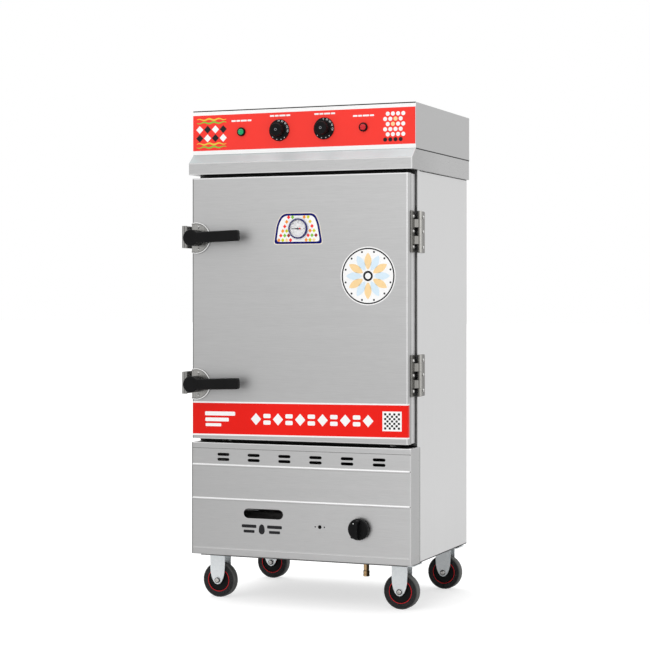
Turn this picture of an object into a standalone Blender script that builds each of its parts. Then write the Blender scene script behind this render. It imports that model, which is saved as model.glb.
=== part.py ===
"""Rice steamer cabinet on casters, modelled at its real size.

Metres, +Z up. Inside this file X runs along the front with zero on the cabinet's centre line, Y runs into
the cabinet with zero on the lower front panel, and Z is height above the floor. One empty carries the whole
cabinet and moves that origin to the middle of the footprint. Every moving piece hangs on an empty that sits
on its joint axis.
"""

import math

import bmesh
import bpy
from mathutils import Vector

# Sheet, clearances and roundness
GAP = 0.0003
SHEET = 0.0010
OVERRUN = 0.0060
SEAM = 0.0005
ROUND_SIDES = 24
BARREL_SIDES = 16
SMALL_SIDES = 12
THIN_SIDES = 8
WHEEL_SIDES = 28
CORNER_STEPS = 4
SMALL_CORNER_STEPS = 2
BEND_STEPS = 3
BEND_RADIUS = 0.0018
SMOOTH_ANGLE = math.radians(35.0)

# Casters
WHEEL_RADIUS = 0.0526
WHEEL_HALF_WIDTH = 0.0150
WHEEL_SHOULDER = 0.0040
WHEEL_CORE_RADIUS = 0.0360
WHEEL_GROOVE_DEPTH = 0.0035
WHEEL_HUB_RADIUS = 0.0130
WHEEL_HUB_HALF_WIDTH = 0.0195
WHEEL_BORE_RADIUS = 0.0045
CASTER_SIDE_INSET = 0.0565
CASTER_FRONT_Y = 0.0834
CASTER_REAR_INSET = 0.0441
CASTER_PLATE_TOP_Z = 0.1335
CASTER_PLATE_LENGTH = 0.1000
CASTER_PLATE_WIDTH = 0.0850
CASTER_PLATE_SHEET = 0.0030
CASTER_PLATE_CORNER = 0.0080
CASTER_BOLT_SPACING_X = 0.0760
CASTER_BOLT_SPACING_Y = 0.0600
CASTER_BOLT_HOLE_RADIUS = 0.0045
FORK_GAP_HALF = 0.0205
FORK_SHEET = 0.0028
FORK_TOP_WIDTH = 0.0480
FORK_TIP_REACH = 0.0125
FORK_SHOULDER_DROP = 0.0390
AXLE_RADIUS = 0.0040
AXLE_HEAD_RADIUS = 0.0070
AXLE_HEAD_LENGTH = 0.0030

# Base frame
BASE_SIDE_INSET = 0.0200
BASE_FRONT_Y = 0.0200
BASE_BACK_INSET = 0.0130
BASE_SHEET = 0.0020
BASE_STEP_HEIGHT = 0.0062
BASE_LEDGE_SHEET = 0.0015
BASE_LEDGE_LIP = 0.0010
BASE_OPENING_SIDE_INSET = 0.1160
BASE_OPENING_FRONT_Y = 0.1350
BASE_OPENING_BACK_INSET = 0.1000

# Body shell, back panel and face frame
BODY_HALF_WIDTH = 0.3510
BODY_FRONT_Y = 0.0575
BODY_BACK_Y = 0.5300
BODY_BOTTOM_Z = 0.1390
BODY_TOP_Z = 1.3445
BACK_PANEL_FLANGE = 0.0110
BACK_PANEL_LIFT = 0.0030
FRAME_BOTTOM_RISE = 0.0036
FRAME_LIP_DEPTH = 0.0180
OPENING_SIDE_STEP = 0.0080
OPENING_BOTTOM_RISE = 0.0329
OPENING_TOP_DROP = 0.0325

# Chamber liner, insulation and water tank
SIDE_INSULATION = 0.0350
BACK_INSULATION = 0.0340
LINER_BOTTOM_STEP = 0.0140
LINER_TOP_STEP = 0.0220
JACKET_BOTTOM_DROP = 0.0080
TANK_SIDE_MARGIN = 0.0395
TANK_FRONT_Y = 0.0795
TANK_BACK_MARGIN = 0.0355
TANK_DEPTH = 0.1080
TANK_FLANGE = 0.0130
TANK_FLANGE_SHEET = 0.0012
TANK_CORNER_RADIUS = 0.0200
TANK_MOUTH_CLEARANCE = 0.0015

# Racks and trays
RACK_POST_SHEET = 0.0030
RACK_POST_WIDTH = 0.0250
RACK_POST_FRONT_Y = 0.1050
RACK_POST_BACK_INSET = 0.0960
RACK_POST_TOP_DROP = 0.0140
RUNNER_LEDGE = 0.0195
RUNNER_DROP = 0.0140
RUNNER_SHEET = 0.0015
RUNNER_BITE = 0.0010
RUNNER_FRONT_Y = 0.0820
RUNNER_BACK_INSET = 0.0090
FIRST_RUNNER_RISE = 0.0740
TRAY_TOP_ROOM = 0.0710
TRAY_COUNT = 6
TRAY_SIDE_CLEARANCE = 0.0117
TRAY_BACK_CLEARANCE = 0.0120
TRAY_HEIGHT = 0.0480
TRAY_FRONT_Y = 0.0840
TRAY_RIM = 0.0090
TRAY_TAPER = 0.0060
TRAY_CORNER_RADIUS = 0.0250
TRAY_SHEET = 0.0010

# Heating elements in the tank
ELEMENT_COUNT = 3
ELEMENT_PITCH = 0.1700
ELEMENT_LEG_SPACING = 0.0600
ELEMENT_RADIUS = 0.0040
ELEMENT_RISE = 0.0300
ELEMENT_FRONT_Y = 0.1200
ELEMENT_TAIL = 0.0175
ELEMENT_FLANGE_SHEET = 0.0040
ELEMENT_FLANGE_HALF_HEIGHT = 0.0130
ELEMENT_FLANGE_OVERHANG = 0.0150

# Burner
BURNER_Z = 0.2395
BURNER_SIDE_INSET = 0.0760
HEADER_FRONT_Y = 0.1300
HEADER_DEPTH = 0.0350
HEADER_HALF_HEIGHT = 0.0175
BURNER_BAR_COUNT = 5
BURNER_BAR_PITCH = 0.1000
BURNER_BAR_HALF_WIDTH = 0.0160
BURNER_BAR_BOTTOM_DROP = 0.0140
BURNER_BAR_RISE = 0.0200
BURNER_BACK_INSET = 0.1100
BURNER_BITE = 0.0050
REAR_STRAP_DEPTH = 0.0100
REAR_STRAP_HEIGHT = 0.0120
BURNER_LEG_SHEET = 0.0060
MIXER_RADIUS = 0.0140
MIXER_BELL_RADIUS = 0.0175
MIXER_FRONT_Y = 0.0980
MIXER_BELL_LENGTH = 0.0100
MIXER_THROAT_RADIUS = 0.0080
MIXER_THROAT_LENGTH = 0.0200

# Gas valve, stem, knob and hose nipple
GAS_SIDE_INSET = 0.1570
VALVE_NOSE_RADIUS = 0.0090
VALVE_NOSE_END_Y = 0.0200
VALVE_BODY_RADIUS = 0.0160
VALVE_BODY_END_Y = 0.0620
VALVE_OUTLET_RADIUS = 0.0080
VALVE_OUTLET_END_Y = 0.0840
JET_RADIUS = 0.0040
JET_END_Y = 0.0950
VALVE_BORE_END_Y = 0.0360
GAS_STEM_RADIUS = 0.0040
GAS_STEM_CLEARANCE = 0.0005
GAS_STEM_BACK_Y = 0.0340
GAS_STEM_FRONT_Y = -0.0260
GAS_PANEL_HOLE_RADIUS = 0.0060
GAS_INLET_Y = 0.0540
GAS_INLET_RADIUS = 0.0055
GAS_INLET_BITE = 0.0100
GAS_INLET_JOINT_Z = 0.1500
NIPPLE_NUT_TOP_Z = 0.1110
NIPPLE_NUT_RADIUS = 0.0088
NIPPLE_NUT_LENGTH = 0.0100
NIPPLE_NUT_SIDES = 6
NIPPLE_END_Z = 0.0940
NIPPLE_BARB_RADIUS = 0.0066
NIPPLE_BORE_RADIUS = 0.0032
NIPPLE_HOLE_CLEARANCE = 0.0030
GAS_KNOB_RADIUS = 0.0315
GAS_PUSH_TRAVEL = 0.0050
GAS_KNOB_STANDOFF = 0.0010
GAS_KNOB_SKIRT_LENGTH = 0.0130
GAS_KNOB_CHAMFER = 0.0030
GAS_KNOB_FRONT_Y = -0.0360
GAS_KNOB_GRIP_HALF_WIDTH = 0.0060
GAS_KNOB_GRIP_TAPER = 0.0015
GAS_KNOB_GRIP_HALF_LENGTH = 0.0285
GAS_KNOB_GRIP_TILT = math.radians(1.5)
GAS_KNOB_NUB = 0.0050
GAS_KNOB_NUB_HALF_WIDTH = 0.0060
GAS_KNOB_NUB_TURN = math.radians(40.0)
GAS_KNOB_BORE_END_Y = -0.0320

# Lower front panel
PANEL_CLEARANCE = 0.0003
LOWER_PANEL_BOTTOM_Z = 0.1393
LOWER_PANEL_TOP_Z = 0.4779
LOWER_PANEL_RETURN_Y = 0.0757
LOWER_PANEL_TOP_FLANGE_Y = 0.0550
LOWER_PANEL_BOTTOM_FLANGE_Y = 0.0180
BEAD_UPPER_DROP = 0.0674
BEAD_LOWER_Z = 0.3090
BEAD_HALF_HEIGHT = 0.0030
BEAD_DEPTH = 0.0018
BEAD_END_INSET = 0.0035
CREASE_TOP_DROP = 0.0179
CREASE_BOTTOM_Z = 0.1600
CREASE_HALF_HEIGHT = 0.0012
CREASE_DEPTH = 0.0006
VENT_COUNT = 6
VENT_PITCH = 0.0999
VENT_FIRST_X = -0.2460
VENT_DROP = 0.0429
VENT_LENGTH = 0.0400
VENT_HEIGHT = 0.0090
VENT_ROW_OFFSET = 0.0075
VIEW_SLOT_X = -0.1145
VIEW_SLOT_Z = 0.2690
VIEW_SLOT_LENGTH = 0.1290
VIEW_SLOT_HEIGHT = 0.0290
IGNITER_X = 0.0675
IGNITER_Z = 0.2387
IGNITER_RADIUS = 0.0058
IGNITER_SIDE_OFFSET = 0.0146
IGNITER_SIDE_RADIUS = 0.0022

# Door
DOOR_SIDE_INSET = 0.0060
DOOR_FRONT_Y = -0.0103
DOOR_BACK_Y = 0.0550
DOOR_BOTTOM_GAP = 0.0112
DOOR_TOP_GAP = 0.0108
DOOR_EDGE_RADIUS = 0.0030
DOOR_SKIN_RETURN = 0.0304
GROOVE_INSET = 0.0090
GROOVE_WIDTH = 0.0180
GROOVE_DEPTH = 0.0057
GASKET_LIP_SHARE = 0.22
GASKET_LIP_RISE = 0.0024

# Hinges
HINGE_AXIS_Y = 0.0575
HINGE_BARREL_RADIUS = 0.0060
HINGE_LEAF_SHEET = 0.0025
HINGE_BARREL_OFFSET = 0.0004
HINGE_HEIGHT = 0.1220
HINGE_KNUCKLES = 5
HINGE_KNUCKLE_GAP = 0.0004
HINGE_NOTCH_CLEARANCE = 0.0008
HINGE_PIN_RADIUS = 0.0028
HINGE_BORE_CLEARANCE = 0.0004
HINGE_DOOR_LEAF_START_Y = 0.0115
HINGE_DOOR_LEAF_END_Y = 0.0430
HINGE_BODY_LEAF_END_Y = 0.1165
HINGE_CORNER_RADIUS = 0.0040
HINGE_UPPER_DROP = 0.1690
HINGE_LOWER_RISE = 0.1974
HINGE_STRAP_ROOT = 0.0030

# Latches
LATCH_INSET = 0.0155
LATCH_UPPER_DROP = 0.1807
LATCH_LOWER_RISE = 0.1646
FLANGE_RADIUS = 0.0460
FLANGE_FLAT_OFFSET = 0.0150
FLANGE_SHEET = 0.0030
FLANGE_RIM_RISE = 0.0018
FLANGE_RIM_WIDTH = 0.0032
FLANGE_COLLAR_RADIUS = 0.0148
FLANGE_COLLAR_RISE = 0.0030
FLANGE_SIDES = 28
SPINDLE_RADIUS = 0.0060
SPINDLE_CLEARANCE = 0.0004
CAM_RADIUS = 0.0180
CAM_THICKNESS = 0.0062
CAM_FINGER_REACH = 0.0254
CAM_FINGER_HALF_WIDTH = 0.0080
CAM_FINGER_NOSE = 0.0015
CAM_FINGER_TIP_HALF_WIDTH = 0.0034
CAM_FINGER_BITE = 0.0008
HUB_RADIUS = 0.0245
HUB_LENGTH = 0.0340
HUB_CHAMFER = 0.0020
LEVER_REACH = 0.1567
LEVER_NECK_HALF_HEIGHT = 0.0160
LEVER_TIP_HALF_HEIGHT = 0.0165
LEVER_CORNER_RADIUS = 0.0055
LEVER_THICKNESS = 0.0180
LEVER_CHAMFER = 0.0025
LEVER_SETBACK = 0.0006
LEVER_TILT = math.radians(1.8)
KEEPER_SHEET = 0.0022
KEEPER_HALF_HEIGHT = 0.0335
KEEPER_RISE = 0.0035
KEEPER_STANDOFF = 0.0200
KEEPER_LIP_CLEARANCE = 0.0003
KEEPER_BASE_LENGTH = 0.0450
KEEPER_BASE_START = 0.0060

# Dial thermometer on the door
THERMO_X = 0.0035
THERMO_DROP = 0.1570
THERMO_RADIUS = 0.0300
THERMO_DEPTH = 0.0075
THERMO_BEZEL_CHAMFER = 0.0012
THERMO_BEZEL_WIDTH = 0.0035
THERMO_DIAL_LIFT = 0.0018
THERMO_LENS_SHEET = 0.0014
THERMO_LENS_SETBACK = 0.0005
THERMO_POST_RADIUS = 0.0011
THERMO_POST_LENGTH = 0.0030
THERMO_STEM_RADIUS = 0.0040
THERMO_STEM_REACH = 0.0200
THERMO_HOLE_CLEARANCE = 0.0004
NEEDLE_LIFT = 0.0014
NEEDLE_SHEET = 0.0008
NEEDLE_HUB_RADIUS = 0.0030
NEEDLE_BORE_CLEARANCE = 0.0003
NEEDLE_LENGTH = 0.0200
NEEDLE_TAIL = 0.0070
NEEDLE_ROOT_HALF_WIDTH = 0.0012
NEEDLE_TIP_HALF_WIDTH = 0.0004

# Control head and canopy
HEAD_OVERHANG = 0.0075
HEAD_BACK_OVERHANG = 0.0025
HEAD_FRONT_Y = 0.0229
HEAD_HEIGHT = 0.1346
CANOPY_FRONT_Y = -0.0072
CANOPY_FASCIA_HEIGHT = 0.0348
CANOPY_SLOPE_HEIGHT = 0.0264
CANOPY_TOP_RISE = 0.0020
LABEL_SHEET = 0.0008
LABEL_TOP_DROP = 0.0012
KNOB_HALF_SPACING = 0.0720
KNOB_DROP = 0.0678
KNOB_STANDOFF = 0.0010
KNOB_SKIRT_RADIUS = 0.0325
KNOB_SKIRT_EDGE = 0.0016
KNOB_SKIRT_RISE = 0.0050
KNOB_CAP_RADIUS = 0.0215
KNOB_CAP_FRONT_RADIUS = 0.0195
KNOB_LENGTH = 0.0290
KNOB_CHAMFER = 0.0020
KNOB_FLUTES = 12
KNOB_FLUTE_DEPTH = 0.0012
KNOB_SHAFT_RADIUS = 0.0030
KNOB_SHAFT_CLEARANCE = 0.0004
KNOB_SHAFT_LENGTH = 0.0220
BUSHING_RADIUS = 0.0055
BUSHING_LENGTH = 0.0090
THERMOSTAT_HALF_WIDTH = 0.0220
THERMOSTAT_HALF_HEIGHT = 0.0200
THERMOSTAT_DEPTH = 0.0300
TIMER_HALF_WIDTH = 0.0290
TIMER_HALF_HEIGHT = 0.0290
TIMER_DEPTH = 0.0420
LAMP_HALF_SPACING = 0.1965
LAMP_DROP = 0.0683
LAMP_BEZEL_RADIUS = 0.0125
LAMP_BEZEL_LENGTH = 0.0045
LAMP_LENS_RADIUS = 0.0093
LAMP_LENS_RISE = 0.0040
LAMP_BODY_RADIUS = 0.0080
LAMP_BODY_LENGTH = 0.0280

# Pipes and gland at the back
VENT_PIPE_X = -0.2000
VENT_PIPE_DEPTH = 0.0270
VENT_PIPE_RADIUS = 0.0120
VENT_PIPE_BORE = 0.0100
VENT_PIPE_INSIDE = 0.0060
VENT_PIPE_STANDOFF = 0.0220
VENT_PIPE_DROP = 0.0400
VENT_PIPE_BEND = 0.0150
DRAIN_X = -0.1500
DRAIN_INSET = 0.0155
DRAIN_RADIUS = 0.0105
DRAIN_BORE = 0.0085
DRAIN_Z = 0.2000
DRAIN_BEND = 0.0250
DRAIN_STANDOFF = 0.0260
PIPE_CLEARANCE = 0.0004
GLAND_INSET = 0.1085
GLAND_DROP = 0.0811
GLAND_BODY_RADIUS = 0.0100
GLAND_NUT_RADIUS = 0.0130
GLAND_BORE_RADIUS = 0.0042
GLAND_INSIDE = 0.0080
GLAND_FLANGE_LENGTH = 0.0050
GLAND_LENGTH = 0.0150

# Places across the cabinet
BASE_HALF_WIDTH = BODY_HALF_WIDTH - BASE_SIDE_INSET
BASE_OPENING_HALF_WIDTH = BODY_HALF_WIDTH - BASE_OPENING_SIDE_INSET
CASTER_X = BODY_HALF_WIDTH - CASTER_SIDE_INSET
LINER_HALF_WIDTH = BODY_HALF_WIDTH - SIDE_INSULATION
OPENING_HALF_WIDTH = LINER_HALF_WIDTH - OPENING_SIDE_STEP
TANK_HALF_WIDTH = LINER_HALF_WIDTH - TANK_SIDE_MARGIN
RACK_WALL_X = LINER_HALF_WIDTH - SHEET - GAP
RACK_FACE_X = RACK_WALL_X - RACK_POST_SHEET
TRAY_HALF_WIDTH = RACK_FACE_X - TRAY_SIDE_CLEARANCE
BURNER_HALF_LENGTH = BODY_HALF_WIDTH - BURNER_SIDE_INSET
GAS_X = BODY_HALF_WIDTH - GAS_SIDE_INSET
DOOR_HALF_WIDTH = BODY_HALF_WIDTH - DOOR_SIDE_INSET
LATCH_X = LATCH_INSET - DOOR_HALF_WIDTH
HEAD_HALF_WIDTH = BODY_HALF_WIDTH + HEAD_OVERHANG
GLAND_X = HEAD_HALF_WIDTH - GLAND_INSET

# Places from front to back
BASE_BACK_Y = BODY_BACK_Y - BASE_BACK_INSET
BASE_OPENING_BACK_Y = BODY_BACK_Y - BASE_OPENING_BACK_INSET
CASTER_REAR_Y = BODY_BACK_Y - CASTER_REAR_INSET
LINER_BACK_Y = BODY_BACK_Y - BACK_INSULATION
TANK_BACK_Y = LINER_BACK_Y - TANK_BACK_MARGIN
ELEMENT_BACK_Y = TANK_BACK_Y + ELEMENT_TAIL
RACK_POST_BACK_Y = LINER_BACK_Y - RACK_POST_BACK_INSET
RUNNER_BACK_Y = LINER_BACK_Y - RUNNER_BACK_INSET
TRAY_BACK_Y = LINER_BACK_Y - TRAY_BACK_CLEARANCE
BURNER_BAR_BACK_Y = BODY_BACK_Y - BURNER_BACK_INSET
HEAD_BACK_Y = BODY_BACK_Y + HEAD_BACK_OVERHANG
VENT_PIPE_START_Y = LINER_BACK_Y - VENT_PIPE_INSIDE
VENT_PIPE_DROP_Y = BODY_BACK_Y + VENT_PIPE_STANDOFF
DRAIN_Y = TANK_BACK_Y - DRAIN_INSET
DRAIN_END_Y = BODY_BACK_Y + DRAIN_STANDOFF

# Heights
CANOPY_TOP_Z = BODY_TOP_Z + CANOPY_TOP_RISE
CANOPY_FASCIA_TOP_Z = CANOPY_TOP_Z - CANOPY_SLOPE_HEIGHT
CANOPY_BOTTOM_Z = CANOPY_FASCIA_TOP_Z - CANOPY_FASCIA_HEIGHT
HEAD_TOP_Z = CANOPY_TOP_Z + HEAD_HEIGHT
KNOB_Z = HEAD_TOP_Z - KNOB_DROP
LAMP_Z = HEAD_TOP_Z - LAMP_DROP
GLAND_Z = HEAD_TOP_Z - GLAND_DROP
FRAME_BOTTOM_Z = LOWER_PANEL_TOP_Z + FRAME_BOTTOM_RISE
DOOR_BOTTOM_Z = LOWER_PANEL_TOP_Z + DOOR_BOTTOM_GAP
DOOR_TOP_Z = CANOPY_BOTTOM_Z - DOOR_TOP_GAP
OPENING_BOTTOM_Z = DOOR_BOTTOM_Z + OPENING_BOTTOM_RISE
OPENING_TOP_Z = DOOR_TOP_Z - OPENING_TOP_DROP
LINER_BOTTOM_Z = OPENING_BOTTOM_Z - LINER_BOTTOM_STEP
LINER_TOP_Z = OPENING_TOP_Z + LINER_TOP_STEP
LINER_FLOOR_Z = LINER_BOTTOM_Z + SHEET
JACKET_BOTTOM_Z = LINER_BOTTOM_Z - JACKET_BOTTOM_DROP
TANK_RIM_Z = LINER_BOTTOM_Z - GAP
TANK_BOTTOM_Z = LINER_BOTTOM_Z - TANK_DEPTH
ELEMENT_Z = TANK_BOTTOM_Z + ELEMENT_RISE
FIRST_RUNNER_Z = LINER_FLOOR_Z + FIRST_RUNNER_RISE
TRAY_PITCH = (LINER_TOP_Z - TRAY_TOP_ROOM - FIRST_RUNNER_Z) / (TRAY_COUNT - 1)
VENT_PIPE_Z = OPENING_TOP_Z - VENT_PIPE_DEPTH
BEAD_UPPER_Z = LOWER_PANEL_TOP_Z - BEAD_UPPER_DROP
CREASE_TOP_Z = LOWER_PANEL_TOP_Z - CREASE_TOP_DROP
VENT_Z = LOWER_PANEL_TOP_Z - VENT_DROP
HINGE_UPPER_Z = DOOR_TOP_Z - HINGE_UPPER_DROP
HINGE_LOWER_Z = DOOR_BOTTOM_Z + HINGE_LOWER_RISE
LATCH_UPPER_Z = DOOR_TOP_Z - LATCH_UPPER_DROP
LATCH_LOWER_Z = DOOR_BOTTOM_Z + LATCH_LOWER_RISE
THERMO_Z = DOOR_TOP_Z - THERMO_DROP

# Other places worked out from the sizes above
BASE_BOTTOM_Z = CASTER_PLATE_TOP_Z + GAP
BASE_STEP_Z = BASE_BOTTOM_Z + BASE_STEP_HEIGHT
SHELL_FRONT_Y = BODY_FRONT_Y + SHEET + GAP
BACK_PANEL_FRONT_Y = BODY_BACK_Y - BACK_PANEL_FLANGE
INSIDE_HALF_WIDTH = BODY_HALF_WIDTH - SHEET - GAP
LOWER_PANEL_INSIDE = BODY_HALF_WIDTH + PANEL_CLEARANCE
LOWER_PANEL_HALF_WIDTH = LOWER_PANEL_INSIDE + SHEET
PAN_HALF_WIDTH = DOOR_HALF_WIDTH - SHEET - GAP
PAN_BOTTOM_Z = DOOR_BOTTOM_Z + SHEET + GAP
PAN_TOP_Z = DOOR_TOP_Z - SHEET - GAP
PAN_FRONT_Y = DOOR_FRONT_Y + DOOR_EDGE_RADIUS + GAP
CORE_FRONT_Y = DOOR_FRONT_Y + SHEET + GAP
GROOVE_FLOOR_Y = DOOR_BACK_Y - GROOVE_DEPTH
HINGE_BODY_LEAF_X = BODY_HALF_WIDTH + GAP
HINGE_DOOR_LEAF_X = DOOR_HALF_WIDTH + GAP
HINGE_AXIS_X = HINGE_BODY_LEAF_X + HINGE_BARREL_OFFSET + HINGE_BARREL_RADIUS
GAS_KNOB_BACK_Y = -GAS_PUSH_TRAVEL - GAS_KNOB_STANDOFF
FLANGE_BACK_Y = DOOR_FRONT_Y - GAP
FLANGE_FACE_Y = FLANGE_BACK_Y - FLANGE_SHEET
COLLAR_FACE_Y = FLANGE_FACE_Y - FLANGE_COLLAR_RISE
CAM_BACK_Y = COLLAR_FACE_Y - GAP
HUB_BACK_Y = CAM_BACK_Y - CAM_THICKNESS
HUB_FRONT_Y = HUB_BACK_Y - HUB_LENGTH
KEEPER_OUTER_X = -BODY_HALF_WIDTH - KEEPER_STANDOFF
LABEL_BACK_Y = HEAD_FRONT_Y + LABEL_SHEET
COVER_FRONT_Y = LABEL_BACK_Y + GAP
COVER_BACK_OF_FRONT_Y = COVER_FRONT_Y + SHEET
COVER_BOTTOM_Z = CANOPY_TOP_Z + SEAM
THERMO_BACK_Y = DOOR_FRONT_Y - GAP
THERMO_FRONT_Y = THERMO_BACK_Y - THERMO_DEPTH
THERMO_DIAL_Y = THERMO_BACK_Y - THERMO_DIAL_LIFT
FOOTPRINT_X = (KEEPER_OUTER_X + HINGE_AXIS_X + HINGE_BARREL_RADIUS) / 2
FOOTPRINT_Y = (HUB_FRONT_Y + VENT_PIPE_DROP_Y + VENT_PIPE_RADIUS) / 2

for old in list(bpy.data.objects):
    bpy.data.objects.remove(old, do_unlink=True)


# Materials
def finish(name, colour, roughness, metallic=0.0):
    made = bpy.data.materials.new(name)
    made.use_nodes = True
    shader = made.node_tree.nodes["Principled BSDF"]
    shader.inputs["Base Color"].default_value = (*colour, 1.0)
    shader.inputs["Roughness"].default_value = roughness
    shader.inputs["Metallic"].default_value = metallic
    made.diffuse_color = (*colour, 1.0)
    return made


def steel(name):
    return finish(name, (0.62, 0.62, 0.61), 0.34, 1.0)


def dark_steel(name):
    return finish(name, (0.42, 0.42, 0.41), 0.38, 1.0)


def zinc(name):
    return finish(name, (0.72, 0.75, 0.76), 0.36, 0.9)


def brass(name):
    return finish(name, (0.62, 0.45, 0.20), 0.32, 1.0)


def black_plastic(name):
    return finish(name, (0.022, 0.022, 0.024), 0.38)


def rubber(name):
    return finish(name, (0.10, 0.10, 0.11), 0.65)


def foam(name):
    return finish(name, (0.80, 0.72, 0.45), 0.90)


# Frame and placing
def empty_at(name, place, parent=None, parent_place=(0.0, 0.0, 0.0)):
    made = bpy.data.objects.new(name, None)
    bpy.context.scene.collection.objects.link(made)
    made.parent = parent
    made.location = Vector(place) - Vector(parent_place)
    return made


CABINET = empty_at("cabinet_frame", (-FOOTPRINT_X, -FOOTPRINT_Y, 0.0))
CARRIERS = {CABINET.name: (CABINET, Vector((0.0, 0.0, 0.0)))}


def carrier(name, place, on="cabinet_frame"):
    """An empty on a joint's axis, in cabinet coordinates."""
    parent, parent_place = CARRIERS[on]
    made = empty_at(name, place, parent, parent_place)
    CARRIERS[name] = (made, Vector(place))


def add(name, shape, material, on="cabinet_frame"):
    """Turns a bmesh drawn in cabinet coordinates into an object whose origin is its carrier."""
    parent, place = CARRIERS[on]
    bmesh.ops.translate(shape, verts=shape.verts, vec=-place)
    bmesh.ops.recalc_face_normals(shape, faces=shape.faces)
    mesh = bpy.data.meshes.new(name)
    shape.to_mesh(mesh)
    shape.free()
    mesh.shade_smooth()
    mesh.set_sharp_from_angle(angle=SMOOTH_ANGLE)
    mesh.materials.append(material)
    made = bpy.data.objects.new(name, mesh)
    bpy.context.scene.collection.objects.link(made)
    made.parent = parent
    return made


def combine(target, shape, operation, on="cabinet_frame"):
    """Adds a Boolean that joins or cuts a helper shape, which stays hidden."""
    count = len(target.modifiers)
    helper = add(f"{operation.lower()}_{target.name}_{count}", shape, target.data.materials[0], on)
    helper.hide_render = True
    helper.display_type = "WIRE"
    helper.hide_set(True)
    change = target.modifiers.new(f"{operation.lower()}_{count}", "BOOLEAN")
    change.operation = operation
    change.object = helper
    change.solver = "EXACT"


def cut(target, *shapes, on="cabinet_frame"):
    for shape in shapes:
        combine(target, shape, "DIFFERENCE", on)


def fuse(target, *shapes, on="cabinet_frame"):
    for shape in shapes:
        combine(target, shape, "UNION", on)


# Shapes
def skin(loops, ring=False):
    """Skins loops of equal length in turn. The ends are capped, or joined to each other for a ring."""
    shape = bmesh.new()
    rows = [[shape.verts.new(point) for point in loop] for loop in loops]
    pairs = list(zip(rows, rows[1:]))
    if ring:
        pairs.append((rows[-1], rows[0]))
    for low, high in pairs:
        for i in range(len(low)):
            j = (i + 1) % len(low)
            shape.faces.new((low[i], low[j], high[j], high[i]))
    if not ring:
        shape.faces.new(rows[0])
        shape.faces.new(rows[-1])
    return shape


def along(axis, first, second, place):
    """A point whose place along the axis is given, with the other two coordinates in X, Y, Z order."""
    if axis == "X":
        return (place, first, second)
    if axis == "Y":
        return (first, place, second)
    return (first, second, place)


def prism(outline, axis, low, high):
    return skin([[along(axis, a, b, place) for a, b in outline] for place in (low, high)])


def box(x_range, y_range, z_range):
    outline = rectangle(*x_range, *y_range)
    return prism(outline, "Z", *z_range)


def rectangle(a0, a1, b0, b1):
    return [(a0, b0), (a1, b0), (a1, b1), (a0, b1)]


def rounded_rectangle(a0, a1, b0, b1, radius, steps=CORNER_STEPS):
    """Corner arcs counter-clockwise from the low corner."""
    centres = [(a0 + radius, b0 + radius), (a1 - radius, b0 + radius)]
    centres += [(a1 - radius, b1 - radius), (a0 + radius, b1 - radius)]
    points = []
    for corner, (a, b) in enumerate(centres):
        for step in range(steps + 1):
            angle = math.pi + (corner + step / steps) * math.pi / 2
            points.append((a + radius * math.cos(angle), b + radius * math.sin(angle)))
    return points


def circle(radius, centre=(0.0, 0.0), sides=ROUND_SIDES, turn_share=0.0):
    points = []
    for i in range(sides):
        angle = math.tau * (i + turn_share) / sides
        points.append((centre[0] + radius * math.cos(angle), centre[1] + radius * math.sin(angle)))
    return points


def turned(profile, axis, centre, sides=ROUND_SIDES, ring=False, turn_share=0.0):
    """A lathe. The profile lists (radius, place along the axis)."""
    loops = []
    for radius, place in profile:
        loops.append([along(axis, a, b, place) for a, b in circle(radius, centre, sides, turn_share)])
    return skin(loops, ring)


def stadium(centre, length, height, steps=6):
    """A slot outline with round ends, long in the first direction."""
    radius = height / 2
    reach = length / 2 - radius
    points = []
    for side in (1, -1):
        for step in range(steps + 1):
            angle = -math.pi / 2 + math.pi * step / steps
            a = side * (reach + radius * math.cos(angle))
            points.append((centre[0] + a, centre[1] + side * radius * math.sin(angle)))
    return points


def joined(*shapes):
    """Puts separate bodies into one bmesh."""
    target = bmesh.new()
    for shape in shapes:
        mesh = bpy.data.meshes.new("joining")
        shape.to_mesh(mesh)
        shape.free()
        target.from_mesh(mesh)
        bpy.data.meshes.remove(mesh)
    return target


def bent_path(corners, bend, steps=4):
    """A polyline through the corners with each inner corner rounded."""
    points = [Vector(corners[0])]
    for before, here, after in zip(corners, corners[1:], corners[2:]):
        here = Vector(here)
        back = (Vector(before) - here).normalized()
        ahead = (Vector(after) - here).normalized()
        for step in range(steps + 1):
            t = step / steps
            a = here + back * bend * (1 - t)
            b = here + ahead * bend * t
            points.append(a.lerp(b, t))
    points.append(Vector(corners[-1]))
    return points


def path_rings(points, radius, sides):
    """Circles square to a path, carried along without twist."""
    rings = []
    side = None
    for i, point in enumerate(points):
        before = points[max(i - 1, 0)]
        after = points[min(i + 1, len(points) - 1)]
        tangent = (after - before).normalized()
        if side is None:
            side = tangent.orthogonal().normalized()
        side = (side - tangent * side.dot(tangent)).normalized()
        other = tangent.cross(side)
        rings.append([point + side * a + other * b for a, b in circle(radius, sides=sides)])
    return rings


def rod(points, radius, sides=SMALL_SIDES):
    return skin(path_rings(points, radius, sides))


def pipe(points, radius, bore, sides=SMALL_SIDES):
    outer = path_rings(points, radius, sides)
    inner = path_rings(points, bore, sides)
    return skin(outer + inner[::-1], ring=True)


# Casters
def caster_places():
    return {
        "front_left": (-CASTER_X, CASTER_FRONT_Y),
        "front_right": (CASTER_X, CASTER_FRONT_Y),
        "rear_left": (-CASTER_X, CASTER_REAR_Y),
        "rear_right": (CASTER_X, CASTER_REAR_Y),
    }


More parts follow.
